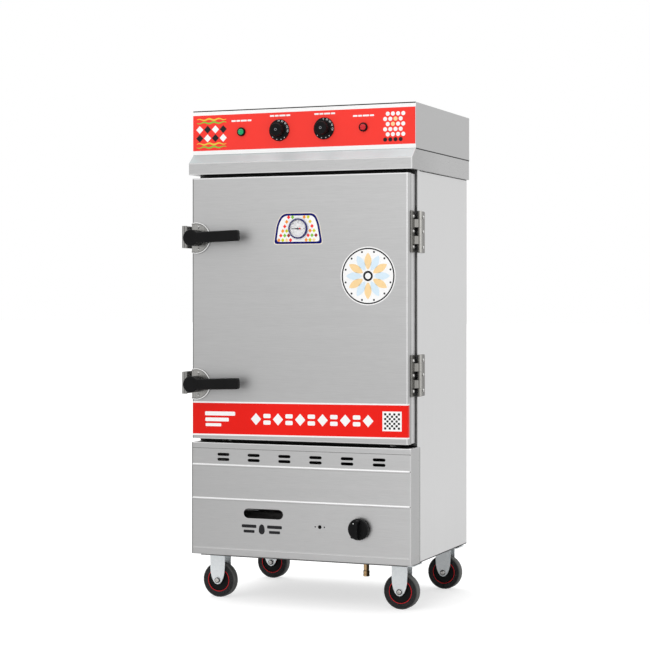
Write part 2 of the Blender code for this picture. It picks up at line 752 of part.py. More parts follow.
def wheel(place_x, place_y):
    """Wheel with its tyre, a groove round the core and a wide hub. A flat of the tread faces the floor."""
    outer = WHEEL_RADIUS / math.cos(math.pi / WHEEL_SIDES)
    half = WHEEL_HALF_WIDTH
    web = half - WHEEL_GROOVE_DEPTH
    groove = WHEEL_CORE_RADIUS - WHEEL_SHOULDER
    side = [
        (WHEEL_BORE_RADIUS, WHEEL_HUB_HALF_WIDTH),
        (WHEEL_HUB_RADIUS, WHEEL_HUB_HALF_WIDTH),
        (WHEEL_HUB_RADIUS, web),
        (groove, web),
        (WHEEL_CORE_RADIUS, half),
        (outer - WHEEL_SHOULDER, half),
        (outer, half - WHEEL_SHOULDER),
    ]
    far = [(r, place_y + y) for r, y in side]
    near = [(r, place_y - y) for r, y in reversed(side)]
    return turned(far + near, "Y", (place_x, WHEEL_RADIUS), WHEEL_SIDES, ring=True, turn_share=0.5)


def fork_outline(place_x):
    """One leg seen from the side of the wheel: straight down to its shoulder, then half an ellipse."""
    top = CASTER_PLATE_TOP_Z - CASTER_PLATE_SHEET / 2
    shoulder = CASTER_PLATE_TOP_Z - CASTER_PLATE_SHEET - FORK_SHOULDER_DROP
    half, drop = FORK_TOP_WIDTH / 2, shoulder - WHEEL_RADIUS + FORK_TIP_REACH
    points = [(place_x + half, top), (place_x - half, top)]
    steps = 10
    for step in range(steps + 1):
        angle = math.pi * (1 + step / steps)
        points.append((place_x + half * math.cos(angle), shoulder + drop * math.sin(angle)))
    return points


def caster_fork(name, place_x, place_y):
    """Top plate, the two pressed legs and the axle riveted into them."""
    half_x, half_y = CASTER_PLATE_LENGTH / 2, CASTER_PLATE_WIDTH / 2
    low, high = CASTER_PLATE_TOP_Z - CASTER_PLATE_SHEET, CASTER_PLATE_TOP_Z
    x_ends, y_ends = (place_x - half_x, place_x + half_x), (place_y - half_y, place_y + half_y)
    plate = rounded_rectangle(*x_ends, *y_ends, CASTER_PLATE_CORNER, BEND_STEPS)
    made = add(name, prism(plate, "Z", low, high), zinc(f"{name}_zinc"))
    inner, outer = FORK_GAP_HALF, FORK_GAP_HALF + FORK_SHEET
    leg = fork_outline(place_x)
    legs = [prism(leg, "Y", place_y + side * inner, place_y + side * outer) for side in (-1, 1)]
    fuse(made, joined(*legs), axle_rivet(place_x, place_y))
    holes = []
    for side_x in (-1, 1):
        for side_y in (-1, 1):
            x = place_x + side_x * CASTER_BOLT_SPACING_X / 2
            centre = (x, place_y + side_y * CASTER_BOLT_SPACING_Y / 2)
            ends = [(CASTER_BOLT_HOLE_RADIUS, low - OVERRUN), (CASTER_BOLT_HOLE_RADIUS, high + OVERRUN)]
            holes.append(turned(ends, "Z", centre, THIN_SIDES))
    cut(made, joined(*holes))


def axle_rivet(place_x, place_y):
    face = FORK_GAP_HALF + FORK_SHEET / 2
    end = FORK_GAP_HALF + FORK_SHEET + AXLE_HEAD_LENGTH
    profile = [(AXLE_HEAD_RADIUS, place_y - end), (AXLE_HEAD_RADIUS, place_y - face)]
    profile += [(AXLE_RADIUS, place_y - face), (AXLE_RADIUS, place_y + face)]
    profile += [(AXLE_HEAD_RADIUS, place_y + face), (AXLE_HEAD_RADIUS, place_y + end)]
    return turned(profile, "Y", (place_x, WHEEL_RADIUS), SMALL_SIDES)


def casters():
    for label, (place_x, place_y) in caster_places().items():
        carrier(f"{label}_axle", (place_x, place_y, WHEEL_RADIUS))
        name = f"caster_wheel_{label}"
        add(name, wheel(place_x, place_y), rubber(f"{name}_rubber"), on=f"{label}_axle")
        caster_fork(f"caster_fork_{label}", place_x, place_y)


# Base frame
def base_frame():
    """A ring of folded sheet. Its floor carries the casters and its ledge carries the shell."""
    ledge_back = BACK_PANEL_FRONT_Y - GAP
    wall = BASE_SHEET
    outer = (-BASE_HALF_WIDTH, BASE_HALF_WIDTH, BASE_FRONT_Y, BASE_BACK_Y)
    ledge = (-INSIDE_HALF_WIDTH, INSIDE_HALF_WIDTH, BASE_FRONT_Y - BASE_LEDGE_LIP, ledge_back)
    inner = (outer[0] + wall, outer[1] - wall, outer[2] + wall, outer[3] - wall)
    opening = (-BASE_OPENING_HALF_WIDTH, BASE_OPENING_HALF_WIDTH, BASE_OPENING_FRONT_Y, BASE_OPENING_BACK_Y)
    ledge_top = BASE_STEP_Z + BASE_LEDGE_SHEET
    floor_top = BASE_BOTTOM_Z + BASE_SHEET
    stations = [(outer, BASE_BOTTOM_Z), (outer, BASE_STEP_Z), (ledge, BASE_STEP_Z), (ledge, ledge_top)]
    stations += [(inner, ledge_top), (inner, floor_top), (opening, floor_top), (opening, BASE_BOTTOM_Z)]
    loops = [[along("Z", a, b, z) for a, b in rectangle(*rect)] for rect, z in stations]
    made = add("base_frame", skin(loops, ring=True), dark_steel("base_steel"))
    radius = NIPPLE_NUT_RADIUS + NIPPLE_HOLE_CLEARANCE
    ends = [(radius, BASE_BOTTOM_Z - OVERRUN), (radius, floor_top + OVERRUN)]
    cut(made, turned(ends, "Z", (GAS_X, GAS_INLET_Y)))


# Body
def body_shell():
    """Both sides and the top in one bent sheet."""
    half, top, wall = BODY_HALF_WIDTH, BODY_TOP_Z, SHEET
    outline = [(-half, BODY_BOTTOM_Z), (-half, top), (half, top), (half, BODY_BOTTOM_Z)]
    outline += [(half - wall, BODY_BOTTOM_Z), (half - wall, top - wall)]
    outline += [(wall - half, top - wall), (wall - half, BODY_BOTTOM_Z)]
    add("body_shell", prism(outline, "Y", SHELL_FRONT_Y, BODY_BACK_Y), steel("shell_steel"))


def open_box(x_range, y_range, z_range, wall, open_side, bend=0.0):
    """Five walls with one side open, -Y, +Y or -Z. A bend rounds the four edges of the closed side."""
    if open_side == "-Z":
        axis, first, second, (mouth, floor) = "Z", x_range, y_range, z_range
    else:
        axis, first, second, (mouth, floor) = "Y", x_range, z_range, y_range
    if open_side == "+Y":
        mouth, floor = floor, mouth
    inward = 1 if mouth > floor else -1
    stations = bend_stations(0.0, floor, inward, bend) + [(0.0, mouth), (wall, mouth)]
    stations += bend_stations(wall, floor + inward * wall, inward, max(bend - wall, 0.0))[::-1]
    loops = []
    for inset, place in stations:
        outline = rectangle(first[0] + inset, first[1] - inset, second[0] + inset, second[1] - inset)
        loops.append([along(axis, a, b, place) for a, b in outline])
    return skin(loops)


def bend_stations(inset, face, inward, radius):
    """(inset, place) from the rim of a face round to its walls."""
    if radius == 0.0:
        return [(inset, face)]
    stations = []
    for step in range(BEND_STEPS + 1):
        angle = math.pi / 2 * step / BEND_STEPS
        depth = inward * radius * (1 - math.cos(angle))
        stations.append((inset + radius * (1 - math.sin(angle)), face + depth))
    return stations


def through_back(radius, centre, low, high):
    """A drill along Y whose flats clear the radius."""
    reach = radius / math.cos(math.pi / SMALL_SIDES)
    return turned([(reach, low - OVERRUN), (reach, high + OVERRUN)], "Y", centre, SMALL_SIDES)


def back_panel():
    half = INSIDE_HALF_WIDTH
    z_range = (BODY_BOTTOM_Z + BACK_PANEL_LIFT, BODY_TOP_Z - SHEET - GAP)
    made = add(
        "back_panel",
        open_box((-half, half), (BACK_PANEL_FRONT_Y, BODY_BACK_Y), z_range, SHEET, "-Y"),
        steel("back_steel"),
    )
    low, high = BACK_PANEL_FRONT_Y, BODY_BACK_Y
    vent = through_back(VENT_PIPE_RADIUS + PIPE_CLEARANCE, (VENT_PIPE_X, VENT_PIPE_Z), low, high)
    drain = through_back(DRAIN_RADIUS + PIPE_CLEARANCE, (DRAIN_X, DRAIN_Z), low, high)
    cut(made, joined(vent, drain))


def front_frame():
    """Face frame whose inner edge folds back into the chamber as a lip."""
    outer = rectangle(-BODY_HALF_WIDTH, BODY_HALF_WIDTH, FRAME_BOTTOM_Z, BODY_TOP_Z)
    mouth = rectangle(-OPENING_HALF_WIDTH, OPENING_HALF_WIDTH, OPENING_BOTTOM_Z, OPENING_TOP_Z)
    lip_half = OPENING_HALF_WIDTH + SHEET
    lip = rectangle(-lip_half, lip_half, OPENING_BOTTOM_Z - SHEET, OPENING_TOP_Z + SHEET)
    back = BODY_FRONT_Y + SHEET
    end = BODY_FRONT_Y + FRAME_LIP_DEPTH
    stations = [(outer, BODY_FRONT_Y), (outer, back), (lip, back), (lip, end), (mouth, end)]
    stations.append((mouth, BODY_FRONT_Y))
    loops = [[along("Y", a, b, y) for a, b in outline] for outline, y in stations]
    add("front_frame", skin(loops, ring=True), steel("frame_steel"))


# Steam chamber
def chamber_liner():
    half = LINER_HALF_WIDTH
    made = add(
        "chamber_liner",
        open_box((-half, half), (SHELL_FRONT_Y, LINER_BACK_Y), (LINER_BOTTOM_Z, LINER_TOP_Z), SHEET, "-Y"),
        steel("liner_steel"),
    )
    mouth = rounded_rectangle(
        -TANK_HALF_WIDTH - TANK_MOUTH_CLEARANCE,
        TANK_HALF_WIDTH + TANK_MOUTH_CLEARANCE,
        TANK_FRONT_Y - TANK_MOUTH_CLEARANCE,
        TANK_BACK_Y + TANK_MOUTH_CLEARANCE,
        TANK_CORNER_RADIUS + TANK_MOUTH_CLEARANCE,
    )
    cut(made, prism(mouth, "Z", LINER_BOTTOM_Z - OVERRUN, LINER_FLOOR_Z + OVERRUN))
    hole = through_back(
        VENT_PIPE_RADIUS + PIPE_CLEARANCE, (VENT_PIPE_X, VENT_PIPE_Z), LINER_BACK_Y - SHEET, LINER_BACK_Y
    )
    cut(made, hole)


def insulation_jacket():
    """Foam on both sides, above and behind the liner."""
    half = INSIDE_HALF_WIDTH
    block = box(
        (-half, half),
        (SHELL_FRONT_Y, BACK_PANEL_FRONT_Y - GAP),
        (JACKET_BOTTOM_Z, BODY_TOP_Z - SHEET - GAP),
    )
    made = add("insulation_jacket", block, foam("jacket_foam"))
    inside = LINER_HALF_WIDTH + GAP
    room = box(
        (-inside, inside),
        (SHELL_FRONT_Y - OVERRUN, LINER_BACK_Y + GAP),
        (JACKET_BOTTOM_Z - OVERRUN, LINER_TOP_Z + GAP),
    )
    cut(made, room)
    hole = through_back(
        VENT_PIPE_RADIUS + PIPE_CLEARANCE, (VENT_PIPE_X, VENT_PIPE_Z), LINER_BACK_Y, BACK_PANEL_FRONT_Y
    )
    cut(made, hole)


def water_tank():
    """Flanged tank that hangs under the chamber's floor."""
    half, front, back, radius = TANK_HALF_WIDTH, TANK_FRONT_Y, TANK_BACK_Y, TANK_CORNER_RADIUS
    wall, reach = SHEET, TANK_FLANGE
    steps = BEND_STEPS
    outer = rounded_rectangle(-half, half, front, back, radius, steps)
    edge = half + reach
    flange = rounded_rectangle(-edge, edge, front - reach, back + reach, radius + reach, steps)
    inner = rounded_rectangle(wall - half, half - wall, front + wall, back - wall, radius - wall, steps)
    under = TANK_RIM_Z - TANK_FLANGE_SHEET
    stations = [(outer, TANK_BOTTOM_Z), (outer, under), (flange, under), (flange, TANK_RIM_Z)]
    stations += [(inner, TANK_RIM_Z), (inner, TANK_BOTTOM_Z + wall)]
    loops = [[along("Z", a, b, z) for a, b in outline] for outline, z in stations]
    made = add("water_tank", skin(loops), steel("tank_steel"))
    radius = ELEMENT_RADIUS + PIPE_CLEARANCE
    holes = []
    for x in element_leg_places():
        holes.append(through_back(radius, (x, ELEMENT_Z), TANK_BACK_Y - SHEET, TANK_BACK_Y))
    cut(made, joined(*holes))
    ends = [(DRAIN_BORE, TANK_BOTTOM_Z - OVERRUN), (DRAIN_BORE, TANK_BOTTOM_Z + SHEET + OVERRUN)]
    cut(made, turned(ends, "Z", (DRAIN_X, DRAIN_Y), SMALL_SIDES))


def element_centres():
    middle = (ELEMENT_COUNT - 1) / 2
    return [(i - middle) * ELEMENT_PITCH for i in range(ELEMENT_COUNT)]


def element_leg_places():
    half = ELEMENT_LEG_SPACING / 2
    return [x + side * half for x in element_centres() for side in (-1, 1)]


def heating_elements():
    """Hairpin elements on one flange bar behind the tank's back wall."""
    half = ELEMENT_LEG_SPACING / 2
    rods = []
    for x in element_centres():
        corners = [(x - half, ELEMENT_BACK_Y, ELEMENT_Z), (x - half, ELEMENT_FRONT_Y, ELEMENT_Z)]
        corners += [(x + half, ELEMENT_FRONT_Y, ELEMENT_Z), (x + half, ELEMENT_BACK_Y, ELEMENT_Z)]
        rods.append(rod(bent_path(corners, half - ELEMENT_RADIUS, BEND_STEPS), ELEMENT_RADIUS, THIN_SIDES))
    made = add("heating_elements", joined(*rods), dark_steel("element_steel"))
    legs = element_leg_places()
    face = TANK_BACK_Y + GAP
    flange = box(
        (legs[0] - ELEMENT_FLANGE_OVERHANG, legs[-1] + ELEMENT_FLANGE_OVERHANG),
        (face, face + ELEMENT_FLANGE_SHEET),
        (ELEMENT_Z - ELEMENT_FLANGE_HALF_HEIGHT, ELEMENT_Z + ELEMENT_FLANGE_HALF_HEIGHT),
    )
    fuse(made, flange)


def runner_heights():
    return [FIRST_RUNNER_Z + i * TRAY_PITCH for i in range(TRAY_COUNT)]


def rack(name, side):
    """Two posts against the liner's wall with one angle runner for each tray."""
    wall, face = RACK_WALL_X, RACK_FACE_X
    posts = []
    for start in (RACK_POST_FRONT_Y, RACK_POST_BACK_Y):
        outline = rectangle(*sorted((side * face, side * wall)), start, start + RACK_POST_WIDTH)
        posts.append(prism(outline, "Z", LINER_FLOOR_Z + GAP, LINER_TOP_Z - RACK_POST_TOP_DROP))
    made = add(name, joined(*posts), steel(f"{name}_steel"))
    runners = []
    for top in runner_heights():
        root = face + RUNNER_BITE
        edge = face - RUNNER_LEDGE
        low, under = top - RUNNER_DROP, top - RUNNER_SHEET
        outline = [(edge, top), (root, top), (root, low), (root - RUNNER_SHEET - RUNNER_BITE, low)]
        outline += [(root - RUNNER_SHEET - RUNNER_BITE, under), (edge, under)]
        runners.append(prism([(side * x, z) for x, z in outline], "Y", RUNNER_FRONT_Y, RUNNER_BACK_Y))
    fuse(made, joined(*runners))


def rice_tray(index, runner_z):
    """Pressed tray with a flat rim that rides on the runners."""
    half, wall = TRAY_HALF_WIDTH, TRAY_SHEET
    front, back = TRAY_FRONT_Y, TRAY_BACK_Y
    rim_low, rim_high = runner_z + GAP, runner_z + GAP + wall
    floor = rim_high - TRAY_HEIGHT

    def outline(inset):
        radius = max(TRAY_CORNER_RADIUS - inset, TRAY_SHEET)
        return rounded_rectangle(inset - half, half - inset, front + inset, back - inset, radius, BEND_STEPS)

    side, foot = TRAY_RIM, TRAY_RIM + TRAY_TAPER
    stations = [(foot, floor), (side, rim_low), (0.0, rim_low), (0.0, rim_high), (side + wall, rim_high)]
    stations.append((foot + wall, floor + wall))
    loops = [[along("Z", a, b, z) for a, b in outline(inset)] for inset, z in stations]
    add(f"rice_tray_{index}", skin(loops), steel(f"tray_{index}_steel"))


def racks_and_trays():
    rack("tray_rack_left", -1)
    rack("tray_rack_right", 1)
    for index, runner_z in enumerate(runner_heights(), start=1):
        rice_tray(index, runner_z)


# Gas burner
def burner_bar(centre_x):
    """A burner tube with a rounded top."""
    low = BURNER_Z - BURNER_BAR_BOTTOM_DROP
    half = BURNER_BAR_HALF_WIDTH
    points = [(centre_x - half, low), (centre_x + half, low)]
    steps = 2 * BEND_STEPS
    for step in range(steps + 1):
        angle = math.pi * step / steps
        points.append((centre_x + half * math.cos(angle), BURNER_Z + BURNER_BAR_RISE * math.sin(angle)))
    return prism(points, "Y", HEADER_FRONT_Y + HEADER_DEPTH - BURNER_BITE, BURNER_BAR_BACK_Y)


def gas_burner():
    """Header tube across the front, burner bars behind it, a rear strap and four legs on the base frame."""
    reach = BURNER_HALF_LENGTH
    header_back = HEADER_FRONT_Y + HEADER_DEPTH
    low, high = BURNER_Z - HEADER_HALF_HEIGHT, BURNER_Z + HEADER_HALF_HEIGHT
    header = box((-reach, reach), (HEADER_FRONT_Y, header_back), (low, high))
    made = add("gas_burner", header, dark_steel("burner_steel"))
    middle = (BURNER_BAR_COUNT - 1) / 2
    fuse(made, joined(*[burner_bar((i - middle) * BURNER_BAR_PITCH) for i in range(BURNER_BAR_COUNT)]))
    strap_front = BURNER_BAR_BACK_Y - BURNER_BITE
    strap_back = strap_front + REAR_STRAP_DEPTH
    fuse(made, box((-reach, reach), (strap_front, strap_back), (low, low + REAR_STRAP_HEIGHT)))
    foot = BASE_BOTTOM_Z + BASE_SHEET + GAP
    legs = []
    for side in (-1, 1):
        x_range = sorted((side * (reach - BURNER_LEG_SHEET - BURNER_BITE), side * (reach - BURNER_BITE)))
        front_leg = (HEADER_FRONT_Y + BURNER_BITE, header_back - BURNER_BITE)
        legs.append(box(x_range, front_leg, (foot, low + BURNER_BITE)))
        legs.append(box(x_range, (strap_front + SHEET, strap_back - SHEET), (foot, low + BURNER_BITE)))
    fuse(made, joined(*legs))
    bell = MIXER_FRONT_Y + MIXER_BELL_LENGTH
    mixer = [(MIXER_BELL_RADIUS, MIXER_FRONT_Y), (MIXER_RADIUS, bell)]
    mixer.append((MIXER_RADIUS, HEADER_FRONT_Y + BURNER_BITE))
    fuse(made, turned(mixer, "Y", (GAS_X, BURNER_Z), BARREL_SIDES))
    throat = [(MIXER_RADIUS, MIXER_FRONT_Y - OVERRUN), (MIXER_THROAT_RADIUS, bell)]
    throat.append((MIXER_THROAT_RADIUS, bell + MIXER_THROAT_LENGTH))
    cut(made, turned(throat, "Y", (GAS_X, BURNER_Z), BARREL_SIDES))


def gas_valve():
    """Brass valve behind the panel. Its jet points into the burner's mixing tube."""
    profile = [(VALVE_NOSE_RADIUS, SHEET + GAP), (VALVE_NOSE_RADIUS, VALVE_NOSE_END_Y)]
    profile += [(VALVE_BODY_RADIUS, VALVE_NOSE_END_Y), (VALVE_BODY_RADIUS, VALVE_BODY_END_Y)]
    profile += [(VALVE_OUTLET_RADIUS, VALVE_BODY_END_Y), (VALVE_OUTLET_RADIUS, VALVE_OUTLET_END_Y)]
    profile += [(JET_RADIUS, VALVE_OUTLET_END_Y), (JET_RADIUS, JET_END_Y)]
    made = add("gas_valve", turned(profile, "Y", (GAS_X, BURNER_Z), BARREL_SIDES), brass("valve_brass"))
    inlet = [(GAS_INLET_RADIUS, GAS_INLET_JOINT_Z), (GAS_INLET_RADIUS, BURNER_Z - GAS_INLET_BITE)]
    fuse(made, turned(inlet, "Z", (GAS_X, GAS_INLET_Y), SMALL_SIDES))
    bore = GAS_STEM_RADIUS + GAS_STEM_CLEARANCE
    cut(made, turned([(bore, -OVERRUN), (bore, VALVE_BORE_END_Y)], "Y", (GAS_X, BURNER_Z), SMALL_SIDES))


def gas_inlet_nipple():
    """Hose nipple with a hexagon under the base frame."""
    top = GAS_INLET_JOINT_Z - GAP
    nut_low = NIPPLE_NUT_TOP_Z - NIPPLE_NUT_LENGTH
    profile = [(GAS_INLET_RADIUS, top), (GAS_INLET_RADIUS, nut_low + SHEET)]
    profile += [(NIPPLE_BARB_RADIUS, nut_low - SHEET), (GAS_INLET_RADIUS, NIPPLE_END_Z)]
    profile += [(NIPPLE_BORE_RADIUS, NIPPLE_END_Z), (NIPPLE_BORE_RADIUS, top)]
    made = add(
        "gas_inlet_nipple",
        turned(profile, "Z", (GAS_X, GAS_INLET_Y), BARREL_SIDES, ring=True),
        brass("nipple_brass"),
    )
    outer = circle(NIPPLE_NUT_RADIUS, (GAS_X, GAS_INLET_Y), NIPPLE_NUT_SIDES)
    inner = circle((GAS_INLET_RADIUS + NIPPLE_BORE_RADIUS) / 2, (GAS_X, GAS_INLET_Y), NIPPLE_NUT_SIDES)
    stations = [(outer, nut_low), (outer, NIPPLE_NUT_TOP_Z), (inner, NIPPLE_NUT_TOP_Z), (inner, nut_low)]
    loops = [[along("Z", a, b, z) for a, b in outline] for outline, z in stations]
    fuse(made, skin(loops, ring=True))


def gas_controls():
    """The stem turns in the valve. The knob turns with it and pushes in along it."""
    carrier("gas_stem_axis", (GAS_X, 0.0, BURNER_Z))
    carrier("gas_knob_slide", (GAS_X, GAS_KNOB_BACK_Y, BURNER_Z), on="gas_stem_axis")
    centre = (GAS_X, BURNER_Z)
    stem = [(GAS_STEM_RADIUS, GAS_STEM_FRONT_Y), (GAS_STEM_RADIUS, GAS_STEM_BACK_Y)]
    add("gas_stem", turned(stem, "Y", centre, SMALL_SIDES), brass("stem_brass"), on="gas_stem_axis")
    skirt_front = GAS_KNOB_BACK_Y - GAS_KNOB_SKIRT_LENGTH
    skirt = [(GAS_KNOB_RADIUS, GAS_KNOB_BACK_Y), (GAS_KNOB_RADIUS, skirt_front + GAS_KNOB_CHAMFER)]
    skirt.append((GAS_KNOB_RADIUS - GAS_KNOB_CHAMFER, skirt_front))
    plastic = black_plastic("gas_knob_plastic")
    made = add("gas_knob", turned(skirt, "Y", centre, WHEEL_SIDES), plastic, on="gas_knob_slide")
    fuse(made, knob_grip(centre, skirt_front), knob_nub(centre, skirt_front), on="gas_knob_slide")
    bore = GAS_STEM_RADIUS + GAS_STEM_CLEARANCE
    depth = [(bore, GAS_KNOB_BACK_Y + OVERRUN), (bore, GAS_KNOB_BORE_END_Y)]
    cut(made, turned(depth, "Y", centre, SMALL_SIDES), on="gas_knob_slide")


def tilted(outline, centre, angle):
    """Turns an outline about a centre, seen from the front."""
    points = []
    for a, b in outline:
        x = centre[0] + a * math.cos(angle) + b * math.sin(angle)
        points.append((x, centre[1] - a * math.sin(angle) + b * math.cos(angle)))
    return points


def knob_grip(centre, skirt_front):
    """The bar across the knob's face, narrower at its front edge."""
    loops = []
    for place, taper in ((skirt_front + GAS_KNOB_CHAMFER, 0.0), (GAS_KNOB_FRONT_Y, GAS_KNOB_GRIP_TAPER)):
        half_width = GAS_KNOB_GRIP_HALF_WIDTH - taper
        half_length = GAS_KNOB_GRIP_HALF_LENGTH - taper
        outline = rounded_rectangle(-half_width, half_width, -half_length, half_length, half_width - SHEET)
        loops.append([along("Y", a, b, place) for a, b in tilted(outline, centre, GAS_KNOB_GRIP_TILT)])
    return skin(loops)


def knob_nub(centre, skirt_front):
    """The pointer that stands out of the knob's rim, to the left of the grip's foot."""
    start = -GAS_KNOB_RADIUS + GAS_KNOB_NUB
    tip = -GAS_KNOB_RADIUS - GAS_KNOB_NUB / 2
    half = GAS_KNOB_NUB_HALF_WIDTH
    outline = [(-half, start), (-half / 2, tip), (half / 2, tip), (half, start)]
    points = tilted(outline, centre, GAS_KNOB_NUB_TURN)
    return prism(points, "Y", skirt_front + GAS_KNOB_CHAMFER + SHEET, GAS_KNOB_BACK_Y - SHEET)


# Lower front panel
def bead(z):
    """A half-round ridge pressed across the panel."""
    steps = 4
    root = SHEET / 2
    points = []
    for step in range(steps + 1):
        angle = math.pi * step / steps
        points.append((root - (root + BEAD_DEPTH) * math.sin(angle), z + BEAD_HALF_HEIGHT * math.cos(angle)))
    reach = LOWER_PANEL_HALF_WIDTH - BEAD_END_INSET
    return prism(points, "X", -reach, reach)


def crease(z):
    """The shallow V of a pressed line, as a cutter."""
    half, reach = CREASE_HALF_HEIGHT, LOWER_PANEL_HALF_WIDTH - BEAD_END_INSET
    outline = [(-GAP, z - half), (-GAP, z + half), (CREASE_DEPTH, z)]
    return prism(outline, "X", -reach, reach)


def vent_cuts():
    """Six pairs of short slots near the panel's top."""
    cuts = []
    for i in range(VENT_COUNT):
        x = VENT_FIRST_X + i * VENT_PITCH
        for side in (-1, 1):
            outline = stadium((x, VENT_Z + side * VENT_ROW_OFFSET), VENT_LENGTH, VENT_HEIGHT, 4)
            cuts.append(prism(outline, "Y", -OVERRUN, SHEET + OVERRUN))
    return cuts


def front_cuts():
    slot = stadium((VIEW_SLOT_X, VIEW_SLOT_Z), VIEW_SLOT_LENGTH, VIEW_SLOT_HEIGHT)
    cuts = [prism(slot, "Y", -OVERRUN, OVERRUN)]
    holes = [(IGNITER_X, IGNITER_Z, IGNITER_RADIUS), (GAS_X, BURNER_Z, GAS_PANEL_HOLE_RADIUS)]
    for side in (-1, 1):
        holes.append((IGNITER_X + side * IGNITER_SIDE_OFFSET, IGNITER_Z, IGNITER_SIDE_RADIUS))
    for x, z, radius in holes:
        cuts.append(turned([(radius, -OVERRUN), (radius, OVERRUN)], "Y", (x, z), SMALL_SIDES))
    return cuts


def lower_front_panel():
    """Folded panel whose side returns lap over the shell."""
    half = LOWER_PANEL_HALF_WIDTH
    y_range, z_range = (0.0, LOWER_PANEL_RETURN_Y), (LOWER_PANEL_BOTTOM_Z, LOWER_PANEL_TOP_Z)
    sheet = open_box((-half, half), y_range, z_range, SHEET, "+Y", BEND_RADIUS)
    made = add("lower_front_panel", sheet, steel("lower_panel_steel"))
    inside = LOWER_PANEL_INSIDE
    beyond = LOWER_PANEL_RETURN_Y + OVERRUN
    top = box(
        (-inside, inside),
        (LOWER_PANEL_TOP_FLANGE_Y, beyond),
        (LOWER_PANEL_TOP_Z - OVERRUN, LOWER_PANEL_TOP_Z + OVERRUN),
    )
    bottom = box(
        (-inside, inside),
        (LOWER_PANEL_BOTTOM_FLANGE_Y, beyond),
        (LOWER_PANEL_BOTTOM_Z - OVERRUN, LOWER_PANEL_BOTTOM_Z + OVERRUN),
    )
    cut(made, joined(top, bottom))
    fuse(made, joined(bead(BEAD_UPPER_Z), bead(BEAD_LOWER_Z)))
    cut(made, joined(crease(CREASE_TOP_Z), crease(CREASE_BOTTOM_Z), *vent_cuts(), *front_cuts()))


# Door
def door_skin():
    """Front sheet with a small radius all round and returns along the four edges."""
    half = DOOR_HALF_WIDTH
    y_range, z_range = (DOOR_FRONT_Y, DOOR_FRONT_Y + DOOR_SKIN_RETURN), (DOOR_BOTTOM_Z, DOOR_TOP_Z)
    sheet = open_box((-half, half), y_range, z_range, SHEET, "+Y", DOOR_EDGE_RADIUS)
    made = add("door_skin", sheet, steel("door_steel"), on="door_axis")
    cut(made, thermometer_hole(), on="door_axis")


def thermometer_hole():
    radius = THERMO_STEM_RADIUS + THERMO_HOLE_CLEARANCE
    return through_back(radius, (THERMO_X, THERMO_Z), DOOR_FRONT_Y, DOOR_BACK_Y)


def pan_outline(inset, y):
    half = PAN_HALF_WIDTH - inset
    return [along("Y", a, b, y) for a, b in rectangle(-half, half, PAN_BOTTOM_Z + inset, PAN_TOP_Z - inset)]


def door_pan():
    """Inner pan with the groove that holds the gasket."""
    outer_edge, inner_edge = GROOVE_INSET, GROOVE_INSET + GROOVE_WIDTH
    wall = SHEET
    face, floor = DOOR_BACK_Y, GROOVE_FLOOR_Y
    stations = [(0.0, PAN_FRONT_Y), (0.0, face), (outer_edge, face), (outer_edge, floor)]
    stations += [(inner_edge, floor), (inner_edge, face)]
    back_path = [(inner_edge + wall, face - wall), (inner_edge + wall, floor - wall)]
    back_path += [(outer_edge - wall, floor - wall), (outer_edge - wall, face - wall), (wall, face - wall)]
    back_path.append((wall, PAN_FRONT_Y))
    outer = [pan_outline(inset, y) for inset, y in stations]
    inner = [pan_outline(inset, y) for inset, y in back_path]
    loops = inner + outer
    made = add("door_pan", skin(loops), steel("pan_steel"), on="door_axis")
    cut(made, thermometer_hole(), on="door_axis")


def door_core():
    """Foam slab between the skin and the pan."""
    inset = SHEET + GAP
    loops = [pan_outline(inset, y) for y in (CORE_FRONT_Y, GROOVE_FLOOR_Y - SHEET - GAP)]
    made = add("door_core", skin(loops), foam("door_foam"), on="door_axis")
    cut(made, thermometer_hole(), on="door_axis")


def door_gasket():
    """Rubber ring seated in the pan's groove and just short of the face frame."""
    low_inset = GROOVE_INSET + GAP
    high_inset = GROOVE_INSET + GROOVE_WIDTH - GAP
    lip = GROOVE_WIDTH * GASKET_LIP_SHARE
    base, crest = GROOVE_FLOOR_Y + GAP, BODY_FRONT_Y - GAP
    shoulder = crest - GASKET_LIP_RISE
    stations = [(low_inset, base), (low_inset, shoulder), (low_inset + lip, crest)]
    stations += [(high_inset - lip, crest), (high_inset, shoulder), (high_inset, base)]
    loops = [pan_outline(inset, y) for inset, y in stations]
    add("door_gasket", skin(loops, ring=True), rubber("gasket_rubber"), on="door_axis")


# Thermometer
def thermometer():
    centre = (THERMO_X, THERMO_Z)
    well = THERMO_RADIUS - THERMO_BEZEL_WIDTH
    profile = [(THERMO_POST_RADIUS, THERMO_DIAL_Y - THERMO_POST_LENGTH), (THERMO_POST_RADIUS, THERMO_DIAL_Y)]
    profile += [(well, THERMO_DIAL_Y), (well, THERMO_FRONT_Y)]
    profile += [(THERMO_RADIUS - THERMO_BEZEL_CHAMFER, THERMO_FRONT_Y)]
    profile += [(THERMO_RADIUS, THERMO_FRONT_Y + THERMO_BEZEL_CHAMFER), (THERMO_RADIUS, THERMO_BACK_Y)]
    profile += [(THERMO_STEM_RADIUS, THERMO_BACK_Y), (THERMO_STEM_RADIUS, DOOR_BACK_Y + THERMO_STEM_REACH)]
    add("thermometer_case", turned(profile, "Y", centre), steel("case_steel"), on="door_axis")
    lens_front = THERMO_FRONT_Y + THERMO_LENS_SETBACK
    lens = [(well - GAP, lens_front), (well - GAP, lens_front + THERMO_LENS_SHEET)]
    glass = finish("thermometer_glass", (0.90, 0.94, 0.95), 0.05)
    add("thermometer_lens", turned(lens, "Y", centre), glass, on="door_axis")
    carrier("needle_axis", (THERMO_X, THERMO_DIAL_Y, THERMO_Z), on="door_axis")
    needle(centre)


